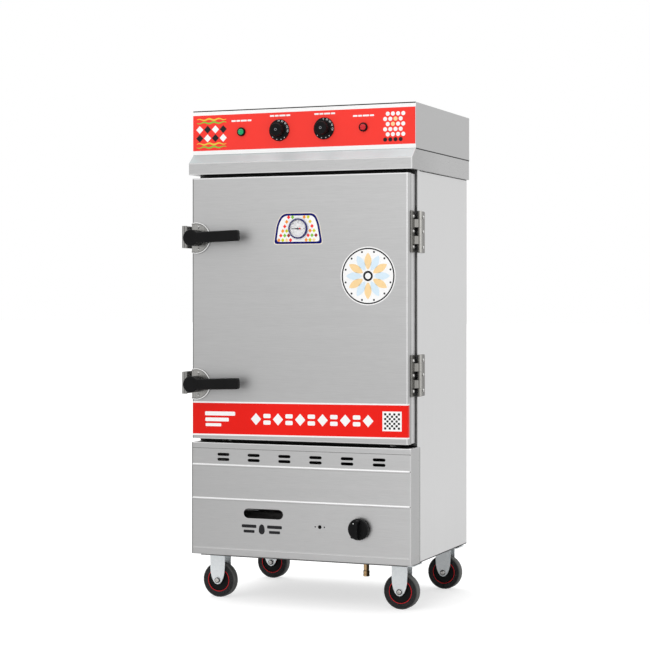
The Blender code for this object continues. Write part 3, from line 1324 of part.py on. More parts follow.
def needle(centre):
    """Pointer that rides on the dial's post and points left at rest."""
    low = THERMO_DIAL_Y - NEEDLE_LIFT
    high = low - NEEDLE_SHEET
    hub = NEEDLE_HUB_RADIUS
    bore = THERMO_POST_RADIUS + NEEDLE_BORE_CLEARANCE
    profile = [(hub, low), (hub, high), (bore, high), (bore, low)]
    red = finish("needle_red", (0.70, 0.05, 0.04), 0.45)
    made = add(
        "thermometer_needle", turned(profile, "Y", centre, SMALL_SIDES, ring=True), red, on="needle_axis"
    )
    root = bore + (hub - bore) / 2
    tip_half, root_half = NEEDLE_TIP_HALF_WIDTH, NEEDLE_ROOT_HALF_WIDTH
    x, z = centre
    pointer = [(x - root, z - root_half), (x - root, z + root_half), (x - NEEDLE_LENGTH, z + tip_half)]
    pointer.append((x - NEEDLE_LENGTH, z - tip_half))
    tail = rectangle(x + root, x + NEEDLE_TAIL, z - root_half, z + root_half)
    skim = NEEDLE_SHEET / 4
    blades = [prism(outline, "Y", high + skim, low - skim) for outline in (pointer, tail)]
    fuse(made, *blades, on="needle_axis")


# Hinges
def knuckle_span(index, centre_z):
    height = HINGE_HEIGHT / HINGE_KNUCKLES
    low = centre_z - HINGE_HEIGHT / 2 + index * height
    return low + HINGE_KNUCKLE_GAP / 2, low + height - HINGE_KNUCKLE_GAP / 2


def knuckles(parity, centre_z):
    return [knuckle_span(i, centre_z) for i in range(HINGE_KNUCKLES) if i % 2 == parity]


def hinge_cylinders(spans):
    centre = (HINGE_AXIS_X, HINGE_AXIS_Y)
    cylinders = []
    for low, high in spans:
        ends = [(HINGE_BARREL_RADIUS, low), (HINGE_BARREL_RADIUS, high)]
        cylinders.append(turned(ends, "Z", centre, BARREL_SIDES))
    return joined(*cylinders)


def hinge_body_leaf(name, centre_z):
    """Leaf on the cabinet's side with three knuckles and the pressed-in pin."""
    inner, outer = HINGE_BODY_LEAF_X, HINGE_BODY_LEAF_X + HINGE_LEAF_SHEET
    start = HINGE_AXIS_Y + HINGE_BARREL_RADIUS + HINGE_NOTCH_CLEARANCE
    half = HINGE_HEIGHT / 2
    z_ends = (centre_z - half, centre_z + half)
    plate = rounded_rectangle(start, HINGE_BODY_LEAF_END_Y, *z_ends, HINGE_CORNER_RADIUS, SMALL_CORNER_STEPS)
    made = add(name, prism(plate, "X", inner, outer), steel(f"{name}_steel"))
    tabs = []
    for low, high in knuckles(0, centre_z):
        reach = (HINGE_AXIS_Y, start + HINGE_CORNER_RADIUS + SHEET)
        tabs.append(box((inner + SHEET / 4, outer - SHEET / 4), reach, (low + SHEET / 4, high - SHEET / 4)))
    fuse(made, joined(*tabs), hinge_cylinders(knuckles(0, centre_z)))
    pin = [(HINGE_PIN_RADIUS, centre_z - half + SHEET), (HINGE_PIN_RADIUS, centre_z + half - SHEET)]
    fuse(made, turned(pin, "Z", (HINGE_AXIS_X, HINGE_AXIS_Y), THIN_SIDES))


def hinge_door_leaf(name, centre_z):
    """Leaf on the door's side. Its two straps step out to the barrel."""
    inner, outer = HINGE_DOOR_LEAF_X, HINGE_DOOR_LEAF_X + HINGE_LEAF_SHEET
    half = HINGE_HEIGHT / 2
    y_ends, z_ends = (HINGE_DOOR_LEAF_START_Y, HINGE_DOOR_LEAF_END_Y), (centre_z - half, centre_z + half)
    plate = rounded_rectangle(*y_ends, *z_ends, HINGE_CORNER_RADIUS, SMALL_CORNER_STEPS)
    made = add(name, prism(plate, "X", inner, outer), steel(f"{name}_steel"), on="door_axis")
    root_y = HINGE_DOOR_LEAF_END_Y - HINGE_CORNER_RADIUS - SHEET
    skim = SHEET / 4
    strap = [(inner + skim, root_y), (outer - skim, root_y), (outer - skim, HINGE_DOOR_LEAF_END_Y)]
    strap += [(HINGE_AXIS_X, HINGE_AXIS_Y - HINGE_BARREL_RADIUS + SHEET), (HINGE_AXIS_X, HINGE_AXIS_Y)]
    strap += [(HINGE_AXIS_X - HINGE_BARREL_RADIUS + SHEET, HINGE_AXIS_Y - HINGE_STRAP_ROOT)]
    strap.append((inner + skim, HINGE_DOOR_LEAF_END_Y))
    straps = [prism(strap, "Z", low + skim, high - skim) for low, high in knuckles(1, centre_z)]
    fuse(made, joined(*straps), hinge_cylinders(knuckles(1, centre_z)), on="door_axis")
    bore = HINGE_PIN_RADIUS + HINGE_BORE_CLEARANCE
    ends = [(bore, centre_z - half), (bore, centre_z + half)]
    cut(made, turned(ends, "Z", (HINGE_AXIS_X, HINGE_AXIS_Y), SMALL_SIDES), on="door_axis")


# Latches
def lever_outline(chamfer):
    """The lever seen from the front, from the hub's axis to its round-cornered tip."""
    neck, tip = LEVER_NECK_HALF_HEIGHT - chamfer, LEVER_TIP_HALF_HEIGHT - chamfer
    reach, radius = LEVER_REACH - chamfer, LEVER_CORNER_RADIUS
    points = [(0.0, neck), (0.0, -neck)]
    for corner in (-1, 1):
        for step in range(CORNER_STEPS + 1):
            angle = math.pi / 2 * step / CORNER_STEPS
            if corner > 0:
                angle = math.pi / 2 - angle
            x = reach - radius + radius * math.sin(angle)
            z = corner * (tip - radius + radius * math.cos(angle))
            points.append((x, z))
    return points


def latch_handle(name, place_z):
    """Lever with its hub, cam finger and spindle in one casting. The lever rises a little to its tip."""
    carrier(f"{name}_axis", (LATCH_X, FLANGE_FACE_Y, place_z), on="door_axis")
    on = f"{name}_axis"
    centre = (LATCH_X, place_z)
    front = HUB_FRONT_Y
    profile = [(HUB_RADIUS - HUB_CHAMFER, front), (HUB_RADIUS, front + HUB_CHAMFER), (HUB_RADIUS, HUB_BACK_Y)]
    profile += [(CAM_RADIUS, HUB_BACK_Y), (CAM_RADIUS, CAM_BACK_Y)]
    profile += [(SPINDLE_RADIUS, CAM_BACK_Y), (SPINDLE_RADIUS, FLANGE_BACK_Y)]
    made = add(name, turned(profile, "Y", centre, WHEEL_SIDES), black_plastic(f"{name}_plastic"), on=on)
    start = front + LEVER_SETBACK
    end = start + LEVER_THICKNESS
    chamfer = LEVER_CHAMFER
    loops = []
    for place, inset in ((start, chamfer), (start + chamfer, 0.0), (end - chamfer, 0.0), (end, chamfer)):
        outline = tilted(lever_outline(inset), centre, -LEVER_TILT)
        loops.append([along("Y", a, b, place) for a, b in outline])
    fuse(made, skin(loops), on=on)
    fuse(made, cam_finger(place_z), on=on)


def cam_finger(place_z):
    """The finger that catches behind the keeper, with a blunt nose that swings clear of it."""
    tip, shoulder = LATCH_X - CAM_FINGER_REACH, LATCH_X - CAM_FINGER_REACH + CAM_FINGER_NOSE
    half, nose = CAM_FINGER_HALF_WIDTH, CAM_FINGER_TIP_HALF_WIDTH
    outline = [(LATCH_X, place_z - half), (LATCH_X, place_z + half), (shoulder, place_z + half)]
    outline += [(tip, place_z + nose), (tip, place_z - nose), (shoulder, place_z - half)]
    return prism(outline, "Y", HUB_BACK_Y + CAM_FINGER_BITE, CAM_BACK_Y - CAM_FINGER_BITE)


def flange_outline(radius, flat_offset, centre):
    """A circle cut flat on its left."""
    start = math.acos(-flat_offset / radius)
    points = []
    for step in range(FLANGE_SIDES + 1):
        angle = start - 2 * start * step / FLANGE_SIDES
        points.append((centre[0] + radius * math.cos(angle), centre[1] + radius * math.sin(angle)))
    return points


def latch_flange(name, place_z):
    """Half-round plate with a raised rim, a collar and the spindle's bore."""
    centre = (LATCH_X, place_z)
    rim_face = FLANGE_FACE_Y - FLANGE_RIM_RISE
    plate = prism(flange_outline(FLANGE_RADIUS, FLANGE_FLAT_OFFSET, centre), "Y", rim_face, FLANGE_BACK_Y)
    made = add(name, plate, steel(f"{name}_steel"), on="door_axis")
    recess_radius = FLANGE_RADIUS - FLANGE_RIM_WIDTH
    recess = flange_outline(recess_radius, FLANGE_FLAT_OFFSET + FLANGE_RIM_WIDTH, centre)
    cut(made, prism(recess, "Y", rim_face - OVERRUN, FLANGE_FACE_Y), on="door_axis")
    collar = [(FLANGE_COLLAR_RADIUS, COLLAR_FACE_Y), (FLANGE_COLLAR_RADIUS, FLANGE_FACE_Y + FLANGE_SHEET / 2)]
    fuse(made, turned(collar, "Y", centre), on="door_axis")
    bore = SPINDLE_RADIUS + SPINDLE_CLEARANCE
    ends = [(bore, COLLAR_FACE_Y - OVERRUN), (bore, FLANGE_BACK_Y + OVERRUN)]
    cut(made, turned(ends, "Y", centre), on="door_axis")


def latch_keeper(name, place_z):
    """Bent plate on the cabinet's left side. Its front lip lies just outside the cam finger's reach."""
    sheet = KEEPER_SHEET
    side = -BODY_HALF_WIDTH - GAP
    outer = KEEPER_OUTER_X
    step = BODY_FRONT_Y + KEEPER_BASE_START
    end = step + KEEPER_BASE_LENGTH
    lip_back = HUB_BACK_Y - CAM_FINGER_BITE
    lip_front = lip_back - sheet
    lip_edge = LATCH_X - CAM_FINGER_REACH - KEEPER_LIP_CLEARANCE
    outline = [(side, step), (side, end), (side - sheet, end), (side - sheet, step + sheet)]
    outline += [(outer, step + sheet), (outer, lip_front), (lip_edge, lip_front), (lip_edge, lip_back)]
    outline += [(outer + sheet, lip_back), (outer + sheet, step)]
    middle = place_z + KEEPER_RISE
    low, high = middle - KEEPER_HALF_HEIGHT, middle + KEEPER_HALF_HEIGHT
    add(name, prism(outline, "Z", low, high), steel(f"{name}_steel"))


def door():
    carrier("door_axis", (HINGE_AXIS_X, HINGE_AXIS_Y, DOOR_BOTTOM_Z))
    door_skin()
    door_pan()
    door_core()
    door_gasket()
    thermometer()
    for label, place_z in (("upper", HINGE_UPPER_Z), ("lower", HINGE_LOWER_Z)):
        hinge_body_leaf(f"hinge_body_leaf_{label}", place_z)
        hinge_door_leaf(f"hinge_door_leaf_{label}", place_z)
    for label, place_z in (("upper", LATCH_UPPER_Z), ("lower", LATCH_LOWER_Z)):
        latch_flange(f"latch_flange_{label}", place_z)
        latch_handle(f"latch_handle_{label}", place_z)
        latch_keeper(f"latch_keeper_{label}", place_z)


# Control head
def panel_holes(low, high):
    holes = []
    for side in (-1, 1):
        knob = (KNOB_SHAFT_RADIUS, (side * KNOB_HALF_SPACING, KNOB_Z))
        lamp = (LAMP_BODY_RADIUS, (side * LAMP_HALF_SPACING, LAMP_Z))
        for size, centre in (knob, lamp):
            radius = size + KNOB_SHAFT_CLEARANCE
            ends = [(radius, low - OVERRUN), (radius, high + OVERRUN)]
            holes.append(turned(ends, "Y", centre, SMALL_SIDES))
    return joined(*holes)


def control_box_cover():
    half = HEAD_HALF_WIDTH
    y_range, z_range = (COVER_FRONT_Y, HEAD_BACK_Y), (COVER_BOTTOM_Z, HEAD_TOP_Z)
    made = add(
        "control_box_cover",
        open_box((-half, half), y_range, z_range, SHEET, "-Z", BEND_RADIUS),
        steel("cover_steel"),
    )
    cut(made, panel_holes(COVER_FRONT_Y, COVER_BACK_OF_FRONT_Y))
    radius = GLAND_BODY_RADIUS + PIPE_CLEARANCE
    cut(made, through_back(radius, (GLAND_X, GLAND_Z), HEAD_BACK_Y - SHEET, HEAD_BACK_Y))


def control_panel():
    """The red and white face plate."""
    face = box(
        (-HEAD_HALF_WIDTH, HEAD_HALF_WIDTH),
        (HEAD_FRONT_Y, LABEL_BACK_Y),
        (COVER_BOTTOM_Z, HEAD_TOP_Z - LABEL_TOP_DROP),
    )
    made = add("control_panel", face, finish("panel_red", (0.90, 0.06, 0.03), 0.35))
    cut(made, panel_holes(HEAD_FRONT_Y, LABEL_BACK_Y))


def corners(a0, a1, b0, b1, radius):
    return rounded_rectangle(a0, a1, b0, b1, radius, SMALL_CORNER_STEPS)


def canopy():
    """Skirt under the head: sloped front, fascia, side bands and a flange that closes on the body."""
    half, back, wall = HEAD_HALF_WIDTH, HEAD_BACK_Y, SHEET
    inside = LOWER_PANEL_INSIDE
    flange = corners(-inside, inside, BODY_FRONT_Y - GAP, BODY_BACK_Y + GAP, GAP)

    def outline(front, inset):
        return corners(inset - half, half - inset, front + inset, back - inset, BEND_RADIUS - inset)

    fascia = outline(CANOPY_FRONT_Y, 0.0)
    stations = [(fascia, CANOPY_BOTTOM_Z), (fascia, CANOPY_FASCIA_TOP_Z)]
    stations += [(outline(HEAD_FRONT_Y, 0.0), CANOPY_TOP_Z), (outline(HEAD_FRONT_Y, wall), CANOPY_TOP_Z)]
    stations += [(outline(CANOPY_FRONT_Y, wall), CANOPY_FASCIA_TOP_Z)]
    stations += [(outline(CANOPY_FRONT_Y, wall), CANOPY_BOTTOM_Z + wall), (flange, CANOPY_BOTTOM_Z + wall)]
    stations.append((flange, CANOPY_BOTTOM_Z))
    loops = [[along("Z", a, b, z) for a, b in points] for points, z in stations]
    add("canopy", skin(loops, ring=True), steel("canopy_steel"))


def dial_knob(name, centre_x):
    """Skirted dial knob with a fluted cap and its shaft."""
    carrier(f"{name}_axis", (centre_x, HEAD_FRONT_Y, KNOB_Z))
    centre = (centre_x, KNOB_Z)
    back = HEAD_FRONT_Y - KNOB_STANDOFF
    edge = back - KNOB_SKIRT_EDGE
    rise = back - KNOB_SKIRT_RISE
    front = back - KNOB_LENGTH
    shaft_end = HEAD_FRONT_Y + KNOB_SHAFT_LENGTH
    profile = [(KNOB_CAP_FRONT_RADIUS - KNOB_CHAMFER, front), (KNOB_CAP_FRONT_RADIUS, front + KNOB_CHAMFER)]
    profile += [(KNOB_CAP_RADIUS, rise), (KNOB_SKIRT_RADIUS, edge), (KNOB_SKIRT_RADIUS, back)]
    profile += [(KNOB_SHAFT_RADIUS, back), (KNOB_SHAFT_RADIUS, shaft_end)]
    loops = []
    for station, (radius, y) in enumerate(profile):
        points = circle(radius, centre, 2 * KNOB_FLUTES)
        if station in (1, 2):
            points = fluted(radius, centre)
        loops.append([along("Y", a, b, y) for a, b in points])
    add(name, skin(loops), black_plastic(f"{name}_plastic"), on=f"{name}_axis")


def fluted(radius, centre):
    """A circle with every second point drawn in."""
    points = []
    for i in range(2 * KNOB_FLUTES):
        angle = math.tau * i / (2 * KNOB_FLUTES)
        reach = radius - (i % 2) * KNOB_FLUTE_DEPTH
        points.append((centre[0] + reach * math.cos(angle), centre[1] + reach * math.sin(angle)))
    return points


def switch_body(name, centre_x, half_width, half_height, depth, material):
    """Housing and bushing of a rotary switch behind the panel, bored for the knob's shaft."""
    bushing_end = COVER_BACK_OF_FRONT_Y + BUSHING_LENGTH
    housing = box(
        (centre_x - half_width, centre_x + half_width),
        (bushing_end - SHEET, bushing_end - SHEET + depth),
        (KNOB_Z - half_height, KNOB_Z + half_height),
    )
    made = add(name, housing, material)
    bushing = [(BUSHING_RADIUS, COVER_BACK_OF_FRONT_Y + GAP), (BUSHING_RADIUS, bushing_end)]
    fuse(made, turned(bushing, "Y", (centre_x, KNOB_Z), SMALL_SIDES))
    radius = KNOB_SHAFT_RADIUS + KNOB_SHAFT_CLEARANCE
    end = HEAD_FRONT_Y + KNOB_SHAFT_LENGTH + SHEET
    cut(made, turned([(radius, HEAD_FRONT_Y), (radius, end)], "Y", (centre_x, KNOB_Z), SMALL_SIDES))


def pilot_lamp(name, centre_x, colour):
    """Lens, bezel and body in one piece, through the panel."""
    seat = HEAD_FRONT_Y - GAP
    front = seat - LAMP_BEZEL_LENGTH
    profile = [(LAMP_LENS_RADIUS / 2, front - LAMP_LENS_RISE)]
    profile += [(LAMP_LENS_RADIUS, front - LAMP_LENS_RISE / 3), (LAMP_LENS_RADIUS, front)]
    profile += [(LAMP_BEZEL_RADIUS - SHEET, front), (LAMP_BEZEL_RADIUS, front + SHEET)]
    profile += [(LAMP_BEZEL_RADIUS, seat), (LAMP_BODY_RADIUS, seat)]
    profile.append((LAMP_BODY_RADIUS, seat + LAMP_BODY_LENGTH))
    add(name, turned(profile, "Y", (centre_x, LAMP_Z), BARREL_SIDES), finish(f"{name}_lens", colour, 0.15))


def control_head():
    control_box_cover()
    control_panel()
    canopy()
    dial_knob("thermostat_knob", -KNOB_HALF_SPACING)
    dial_knob("timer_knob", KNOB_HALF_SPACING)
    ceramic = finish("thermostat_ceramic", (0.80, 0.78, 0.72), 0.6)
    half, high = THERMOSTAT_HALF_WIDTH, THERMOSTAT_HALF_HEIGHT
    switch_body("thermostat_body", -KNOB_HALF_SPACING, half, high, THERMOSTAT_DEPTH, ceramic)
    plastic = black_plastic("timer_plastic")
    half, high = TIMER_HALF_WIDTH, TIMER_HALF_HEIGHT
    switch_body("timer_body", KNOB_HALF_SPACING, half, high, TIMER_DEPTH, plastic)
    pilot_lamp("pilot_lamp_green", -LAMP_HALF_SPACING, (0.05, 0.55, 0.16))
    pilot_lamp("pilot_lamp_red", LAMP_HALF_SPACING, (0.75, 0.03, 0.03))


# Pipes and gland
def steam_vent_pipe():
    """Vent from the chamber's back wall, turned down behind the back panel."""
    x, z, drop_y = VENT_PIPE_X, VENT_PIPE_Z, VENT_PIPE_DROP_Y
    corners = [(x, VENT_PIPE_START_Y, z), (x, drop_y, z), (x, drop_y, z - VENT_PIPE_DROP)]
    path = bent_path(corners, VENT_PIPE_BEND)
    add("steam_vent_pipe", pipe(path, VENT_PIPE_RADIUS, VENT_PIPE_BORE), steel("vent_steel"))


def drain_pipe():
    """Drain from the tank's floor, out through the back panel."""
    x, y = DRAIN_X, DRAIN_Y
    corners = [(x, y, TANK_BOTTOM_Z - GAP), (x, y, DRAIN_Z), (x, DRAIN_END_Y, DRAIN_Z)]
    add("drain_pipe", pipe(bent_path(corners, DRAIN_BEND), DRAIN_RADIUS, DRAIN_BORE), steel("drain_steel"))


def cable_gland():
    """Gland for the supply cable in the head's back wall."""
    inner_face, outer_face = HEAD_BACK_Y - SHEET - GAP, HEAD_BACK_Y + GAP
    end = outer_face + GLAND_LENGTH
    profile = [(GLAND_BODY_RADIUS, inner_face - GLAND_INSIDE), (GLAND_BODY_RADIUS, outer_face)]
    profile += [(GLAND_NUT_RADIUS, outer_face), (GLAND_NUT_RADIUS, outer_face + GLAND_FLANGE_LENGTH)]
    profile += [(GLAND_BODY_RADIUS, outer_face + GLAND_FLANGE_LENGTH), (GLAND_BODY_RADIUS - SHEET, end)]
    profile += [(GLAND_BORE_RADIUS, end), (GLAND_BORE_RADIUS, inner_face - GLAND_INSIDE)]
    shape = turned(profile, "Y", (GLAND_X, GLAND_Z), BARREL_SIDES, ring=True)
    add("cable_gland", shape, black_plastic("gland_plastic"))


casters()
base_frame()
body_shell()
back_panel()
front_frame()
chamber_liner()
insulation_jacket()
water_tank()
heating_elements()
racks_and_trays()
gas_burner()
gas_valve()
gas_inlet_nipple()
gas_controls()
lower_front_panel()
door()
control_head()
steam_vent_pipe()
drain_pipe()
cable_gland()
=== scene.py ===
"""Looks of the rice steamer cabinet: finishes, printed faces, small fasteners, light and camera.

Places are in cabinet coordinates, as in the model's own source: X from the cabinet's centre line, Y from the
lower front panel towards the back, Z above the floor, in metres. at() turns them into frame coordinates.
"""

import math

import bmesh
import bpy
from mathutils import Matrix, Vector


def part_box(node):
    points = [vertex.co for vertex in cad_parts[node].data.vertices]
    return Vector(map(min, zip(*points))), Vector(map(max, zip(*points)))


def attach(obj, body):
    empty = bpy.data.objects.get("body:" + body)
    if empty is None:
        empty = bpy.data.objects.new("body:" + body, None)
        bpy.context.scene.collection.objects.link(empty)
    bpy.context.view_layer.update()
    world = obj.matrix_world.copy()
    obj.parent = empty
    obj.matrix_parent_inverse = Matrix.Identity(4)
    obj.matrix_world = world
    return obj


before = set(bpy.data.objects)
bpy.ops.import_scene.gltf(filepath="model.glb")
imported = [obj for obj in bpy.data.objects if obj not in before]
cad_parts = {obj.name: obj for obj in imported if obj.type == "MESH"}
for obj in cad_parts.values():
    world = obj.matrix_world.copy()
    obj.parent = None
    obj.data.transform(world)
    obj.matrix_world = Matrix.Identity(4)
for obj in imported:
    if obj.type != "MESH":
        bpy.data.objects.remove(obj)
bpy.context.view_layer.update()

# Where the cabinet's own origin lies in the frame
BODY_BACK_Y = 0.53
shell_low, shell_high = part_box("body_shell")
ORIGIN = Vector(((shell_low.x + shell_high.x) / 2, shell_high.y - BODY_BACK_Y, 0.0))

# Places on the cabinet that pieces are set against
BODY_HALF_WIDTH = 0.351
PANEL_FRONT_Y = 0.0
PANEL_HALF_WIDTH = 0.3523
PANEL_TOP_Z = 0.476
SIDE_SEAM_Y = (0.0786, 0.0814)
TANK_FRONT_Y = 0.0795
DOOR_FRONT_Y = -0.0103
DOOR_HALF_WIDTH = 0.345
DOOR_BOTTOM_Z, DOOR_TOP_Z = 0.4905, 1.2725
HEAD_FRONT_Y, HEAD_BACK_Y = 0.0229, 0.5325
HEAD_HALF_WIDTH = 0.3585
HEAD_TOP_Z = 1.4811
BAND_BOTTOM_Z, BAND_TOP_Z = 1.3595, 1.4667
KNOB_X, KNOB_Z = 0.072, 1.4133
LAMP_X, LAMP_Z = 0.1965, 1.4128
CANOPY_FRONT_Y = -0.0072
CANOPY_TOP_Z, CANOPY_SLOPE_Z, CANOPY_BOTTOM_Z = 1.3465, 1.3201, 1.2853
HINGE_Y = 0.0575
HINGE_ZS = {"upper": 1.1055, "lower": 0.6865}
LATCH_X = -0.3295
LATCH_ZS = {"upper": 1.0938, "lower": 0.6537}
THERMOMETER = (0.0035, 1.1175)
GAS_X, GAS_Z = 0.194, 0.2395
NIPPLE_Y = 0.054
WHEEL_RADIUS = 0.0526
CORNERS = {
    "front_left": (-0.2945, 0.0834),
    "front_right": (0.2945, 0.0834),
    "rear_left": (-0.2945, 0.4859),
    "rear_right": (0.2945, 0.4859),
}

# Thickness of a printed film, and the least step between two faces that would else fall together
LAYER = 0.00012
HAIR = 0.00002

# The door's red strip: height of its middle line, rise per metre to the right, half height and border
STRIP_Z, STRIP_SLOPE, STRIP_HALF, STRIP_BORDER = 0.5534, 0.0093, 0.0465, 0.0045

RIGHTWARDS, FORWARDS = Vector((1, 0, 0)), Vector((0, -1, 0))

# Body and slot of each place that pieces sit on
ON_DOOR = ("door", "door_steel")
ON_THERMOMETER = ("door", "thermometer_chrome")
ON_NEEDLE = ("needle", "needle_red")
ON_FLANGE = ("door", "latch_steel")
ON_KEEPER = ("cabinet", "latch_steel")
ON_FORK = ("cabinet", "fork_zinc")
ON_FACE = ("cabinet", "panel_red")
ON_HEAD = ("cabinet", "head_steel")
ON_LOWER = ("cabinet", "lower_panel_steel")
ON_SHELL = ("cabinet", "shell_steel")


def at(x, y, z):
    return ORIGIN + Vector((x, y, z))


# Node helpers
def fill(made, inputs):
    """Fills a node's inputs with numbers, colours, vectors or other nodes' outputs."""
    for key, value in inputs.items():
        socket = made.inputs[key]
        if isinstance(value, bpy.types.NodeSocket):
            made.id_data.links.new(value, socket)
        else:
            socket.default_value = (*value, 1.0) if socket.type == "RGBA" else value


def node(tree, kind, inputs=None, **settings):
    """Adds a node to a tree and returns its outputs. An output's id_data is its tree."""
    made = tree.nodes.new(f"ShaderNode{kind}")
    for key, value in settings.items():
        setattr(made, key, value)
    fill(made, inputs or {})
    return made.outputs


def maths(operation, first, second=0.0):
    return node(first.id_data, "Math", {0: first, 1: second}, operation=operation)[0]


def blend_colours(factor, first, second):
    return node(factor.id_data, "Mix", {0: factor, 6: first, 7: second}, data_type="RGBA")[2]


def mix_floats(factor, first, second):
    return node(factor.id_data, "Mix", {0: factor, 2: first, 3: second}, data_type="FLOAT")[0]


def remap(value, low, high, source_low=0.3, source_high=0.7):
    ends = {"From Min": source_low, "From Max": source_high, "To Min": low, "To Max": high}
    return node(value.id_data, "MapRange", {"Value": value, **ends})["Result"]


EVEN = (1.0, 1.0, 1.0)


def object_coordinates(tree, stretch=EVEN):
    own = node(tree, "TexCoord")["Object"]
    return node(tree, "Mapping", {"Vector": own, "Scale": stretch})["Vector"]


def noise(tree, scale, detail=2.0, roughness=0.5, stretch=EVEN):
    place = object_coordinates(tree, stretch)
    inputs = {"Vector": place, "Scale": scale, "Detail": detail, "Roughness": roughness}
    return node(tree, "TexNoise", inputs)["Fac"]


def weighted(first, share, second):
    """The first value with its share, and the second with the rest."""
    return maths("ADD", maths("MULTIPLY", first, share), maths("MULTIPLY", second, 1 - share))


def soft_edge(tree, radius):
    return node(tree, "Bevel", {"Radius": radius}, samples=6)["Normal"]


def bump(height, strength, distance, edge=None):
    """Small relief, on edges that are softened to a radius."""
    inputs = {"Height": height, "Strength": strength, "Distance": distance}
    if edge is not None:
        inputs["Normal"] = soft_edge(height.id_data, edge)
    return node(height.id_data, "Bump", inputs)["Normal"]


def separate(tree, space="Object"):
    """X, Y and Z in the frame, or of a direction in the surroundings."""
    return node(tree, "SeparateXYZ", {"Vector": node(tree, "TexCoord")[space]})


def distance_from(tree, axis, place):
    """How far a point lies from a place along an axis, in cabinet coordinates."""
    return maths("ABSOLUTE", maths("SUBTRACT", separate(tree)[axis], ORIGIN[axis] + place))


def grey(level):
    return (level, level, level)


def scaled(colour, factors):
    """A colour times several factors, of which there may be none."""
    total = None
    for factor in factors:
        total = factor if total is None else maths("MULTIPLY", total, factor)
    if total is None:
        return colour
    return node(colour.id_data, "VectorMath", {0: colour, "Scale": total}, operation="SCALE")["Vector"]


def toned(colour, tone, low, high, factors=()):
    """A colour that the tone takes from its multiple low to its multiple high, times the factors."""
    dark, light = tuple(c * low for c in colour), tuple(min(c * high, 1.0) for c in colour)
    return scaled(blend_colours(remap(tone, 0.0, 1.0), dark, light), factors)


def place_factors(tree, painted_light):
    """Painted light and shade by place. Each entry is (axis, start, end, value at start, value at end), in
    cabinet coordinates: a factor on the colour that stands in for light falling on a surface or not.
    """
    return [remap(separate(tree)[axis], first, last, ORIGIN[axis] + start, ORIGIN[axis] + end)
            for axis, start, end, first, last in painted_light]


def ridge_factors(tree, ridge_light):
    """Each ridge is (axis, centre, half width, factor, reach from the middle): a painted highlight along a
    line, or painted shade where the factor is below 1.
    """
    made = []
    for axis, centre, half, factor, reach in ridge_light:
        distance = distance_from(tree, axis, centre)
        if axis == 2:
            past_reach = maths("SUBTRACT", distance_from(tree, 0, 0.0), reach)
            distance = maths("MAXIMUM", distance, past_reach)
        made.append(remap(distance, factor, 1.0, half * 0.45, half))
    return made


def gap_factor(tree, reach, clear):
    """Painted shade in narrow gaps and close to other parts, from ambient occlusion, except within clear's
    half width and two heights. Its last two values are the openness at which the painted shade is full and
    at which it ends."""
    half, low, high, deep, shallow = clear
    openness = node(tree, "AmbientOcclusion", {"Distance": reach}, samples=6)["AO"]
    height = separate(tree)[2]
    covered = maths("LESS_THAN", distance_from(tree, 0, 0.0), half)
    covered = maths("MULTIPLY", covered, maths("LESS_THAN", height, high))
    covered = maths("MULTIPLY", covered, maths("GREATER_THAN", height, low))
    return maths("MAXIMUM", remap(openness, 0.03, 1.0, deep, shallow), covered)


# Finishes, by name
FINISHES = {}
SHADER = "Principled BSDF"


def start_material(name, colour, roughness, metallic=0.0, specular=0.5):
    FINISHES[name] = made = bpy.data.materials.new(name)
    made.use_nodes = True
    constants = {"Roughness": roughness, "Metallic": metallic, "Specular IOR Level": specular}
    fill(made.node_tree.nodes[SHADER], {"Base Color": colour, **constants})
    return made.node_tree


def dress(tree, colour, normal, roughness=None):
    """Links what varies over a surface to its shader."""
    varied = {"Base Color": colour, "Normal": normal}
    if roughness is not None:
        varied["Roughness"] = roughness
    fill(tree.nodes[SHADER], varied)


# Scale of the grain along X, Y and Z: small where it runs
HORIZONTAL = (20.0, 20.0, 900.0)
UPRIGHT = (600.0, 600.0, 2.5)
NOWHERE = (0.0, 0.0, 0.0, 0.25, 0.6)


def brushed_steel(name, colour, roughness, along=HORIZONTAL, edge=0.001, contrast=0.07, painted_light=(), ridge_light=(),
                  gap=0.0, clear=NOWHERE):
    """Ground stainless sheet. Its colour also carries painted light and shade by place, painted highlights
    along ridges and painted shade in narrow gaps.
    """
    tree = start_material(name, colour, roughness, 1.0)
    grain = noise(tree, 1.0, 3.0, 0.65, along)
    wide = noise(tree, 1.0, stretch=tuple(a / 9 for a in along))
    cloud = noise(tree, 1.6, stretch=(1.4, 1.4, 1.4))
    tone = weighted(grain, 0.82, wide)
    factors = place_factors(tree, painted_light) + ridge_factors(tree, ridge_light)
    if gap:
        factors.append(gap_factor(tree, gap, clear))
    base = toned(colour, tone, 1 - contrast, 1 + contrast, factors)
    wave = bump(cloud, 0.16, 0.0005, edge)
    fine = {"Height": grain, "Strength": 0.1, "Distance": 0.00006, "Normal": wave}
    rough = remap(tone, roughness - 0.05, roughness + 0.06)
    dress(tree, base, node(tree, "Bump", fine)["Normal"], rough)


def satin_sheet(name, colour, roughness, metallic, contrast, painted_light):
    """Ground sheet seen at a slant, where the grain scatters more than it mirrors."""
    tree = start_material(name, colour, roughness, metallic, 0.12)
    grain = noise(tree, 1.0, 3.0, 0.65, HORIZONTAL)
    tone = weighted(grain, 0.4, noise(tree, 1.0, stretch=(9.0, 1.0, 1.0)))
    base = toned(colour, tone, 1 - contrast, 1 + contrast, place_factors(tree, painted_light))
    dress(tree, base, bump(grain, 0.1, 0.00006, 0.0008))


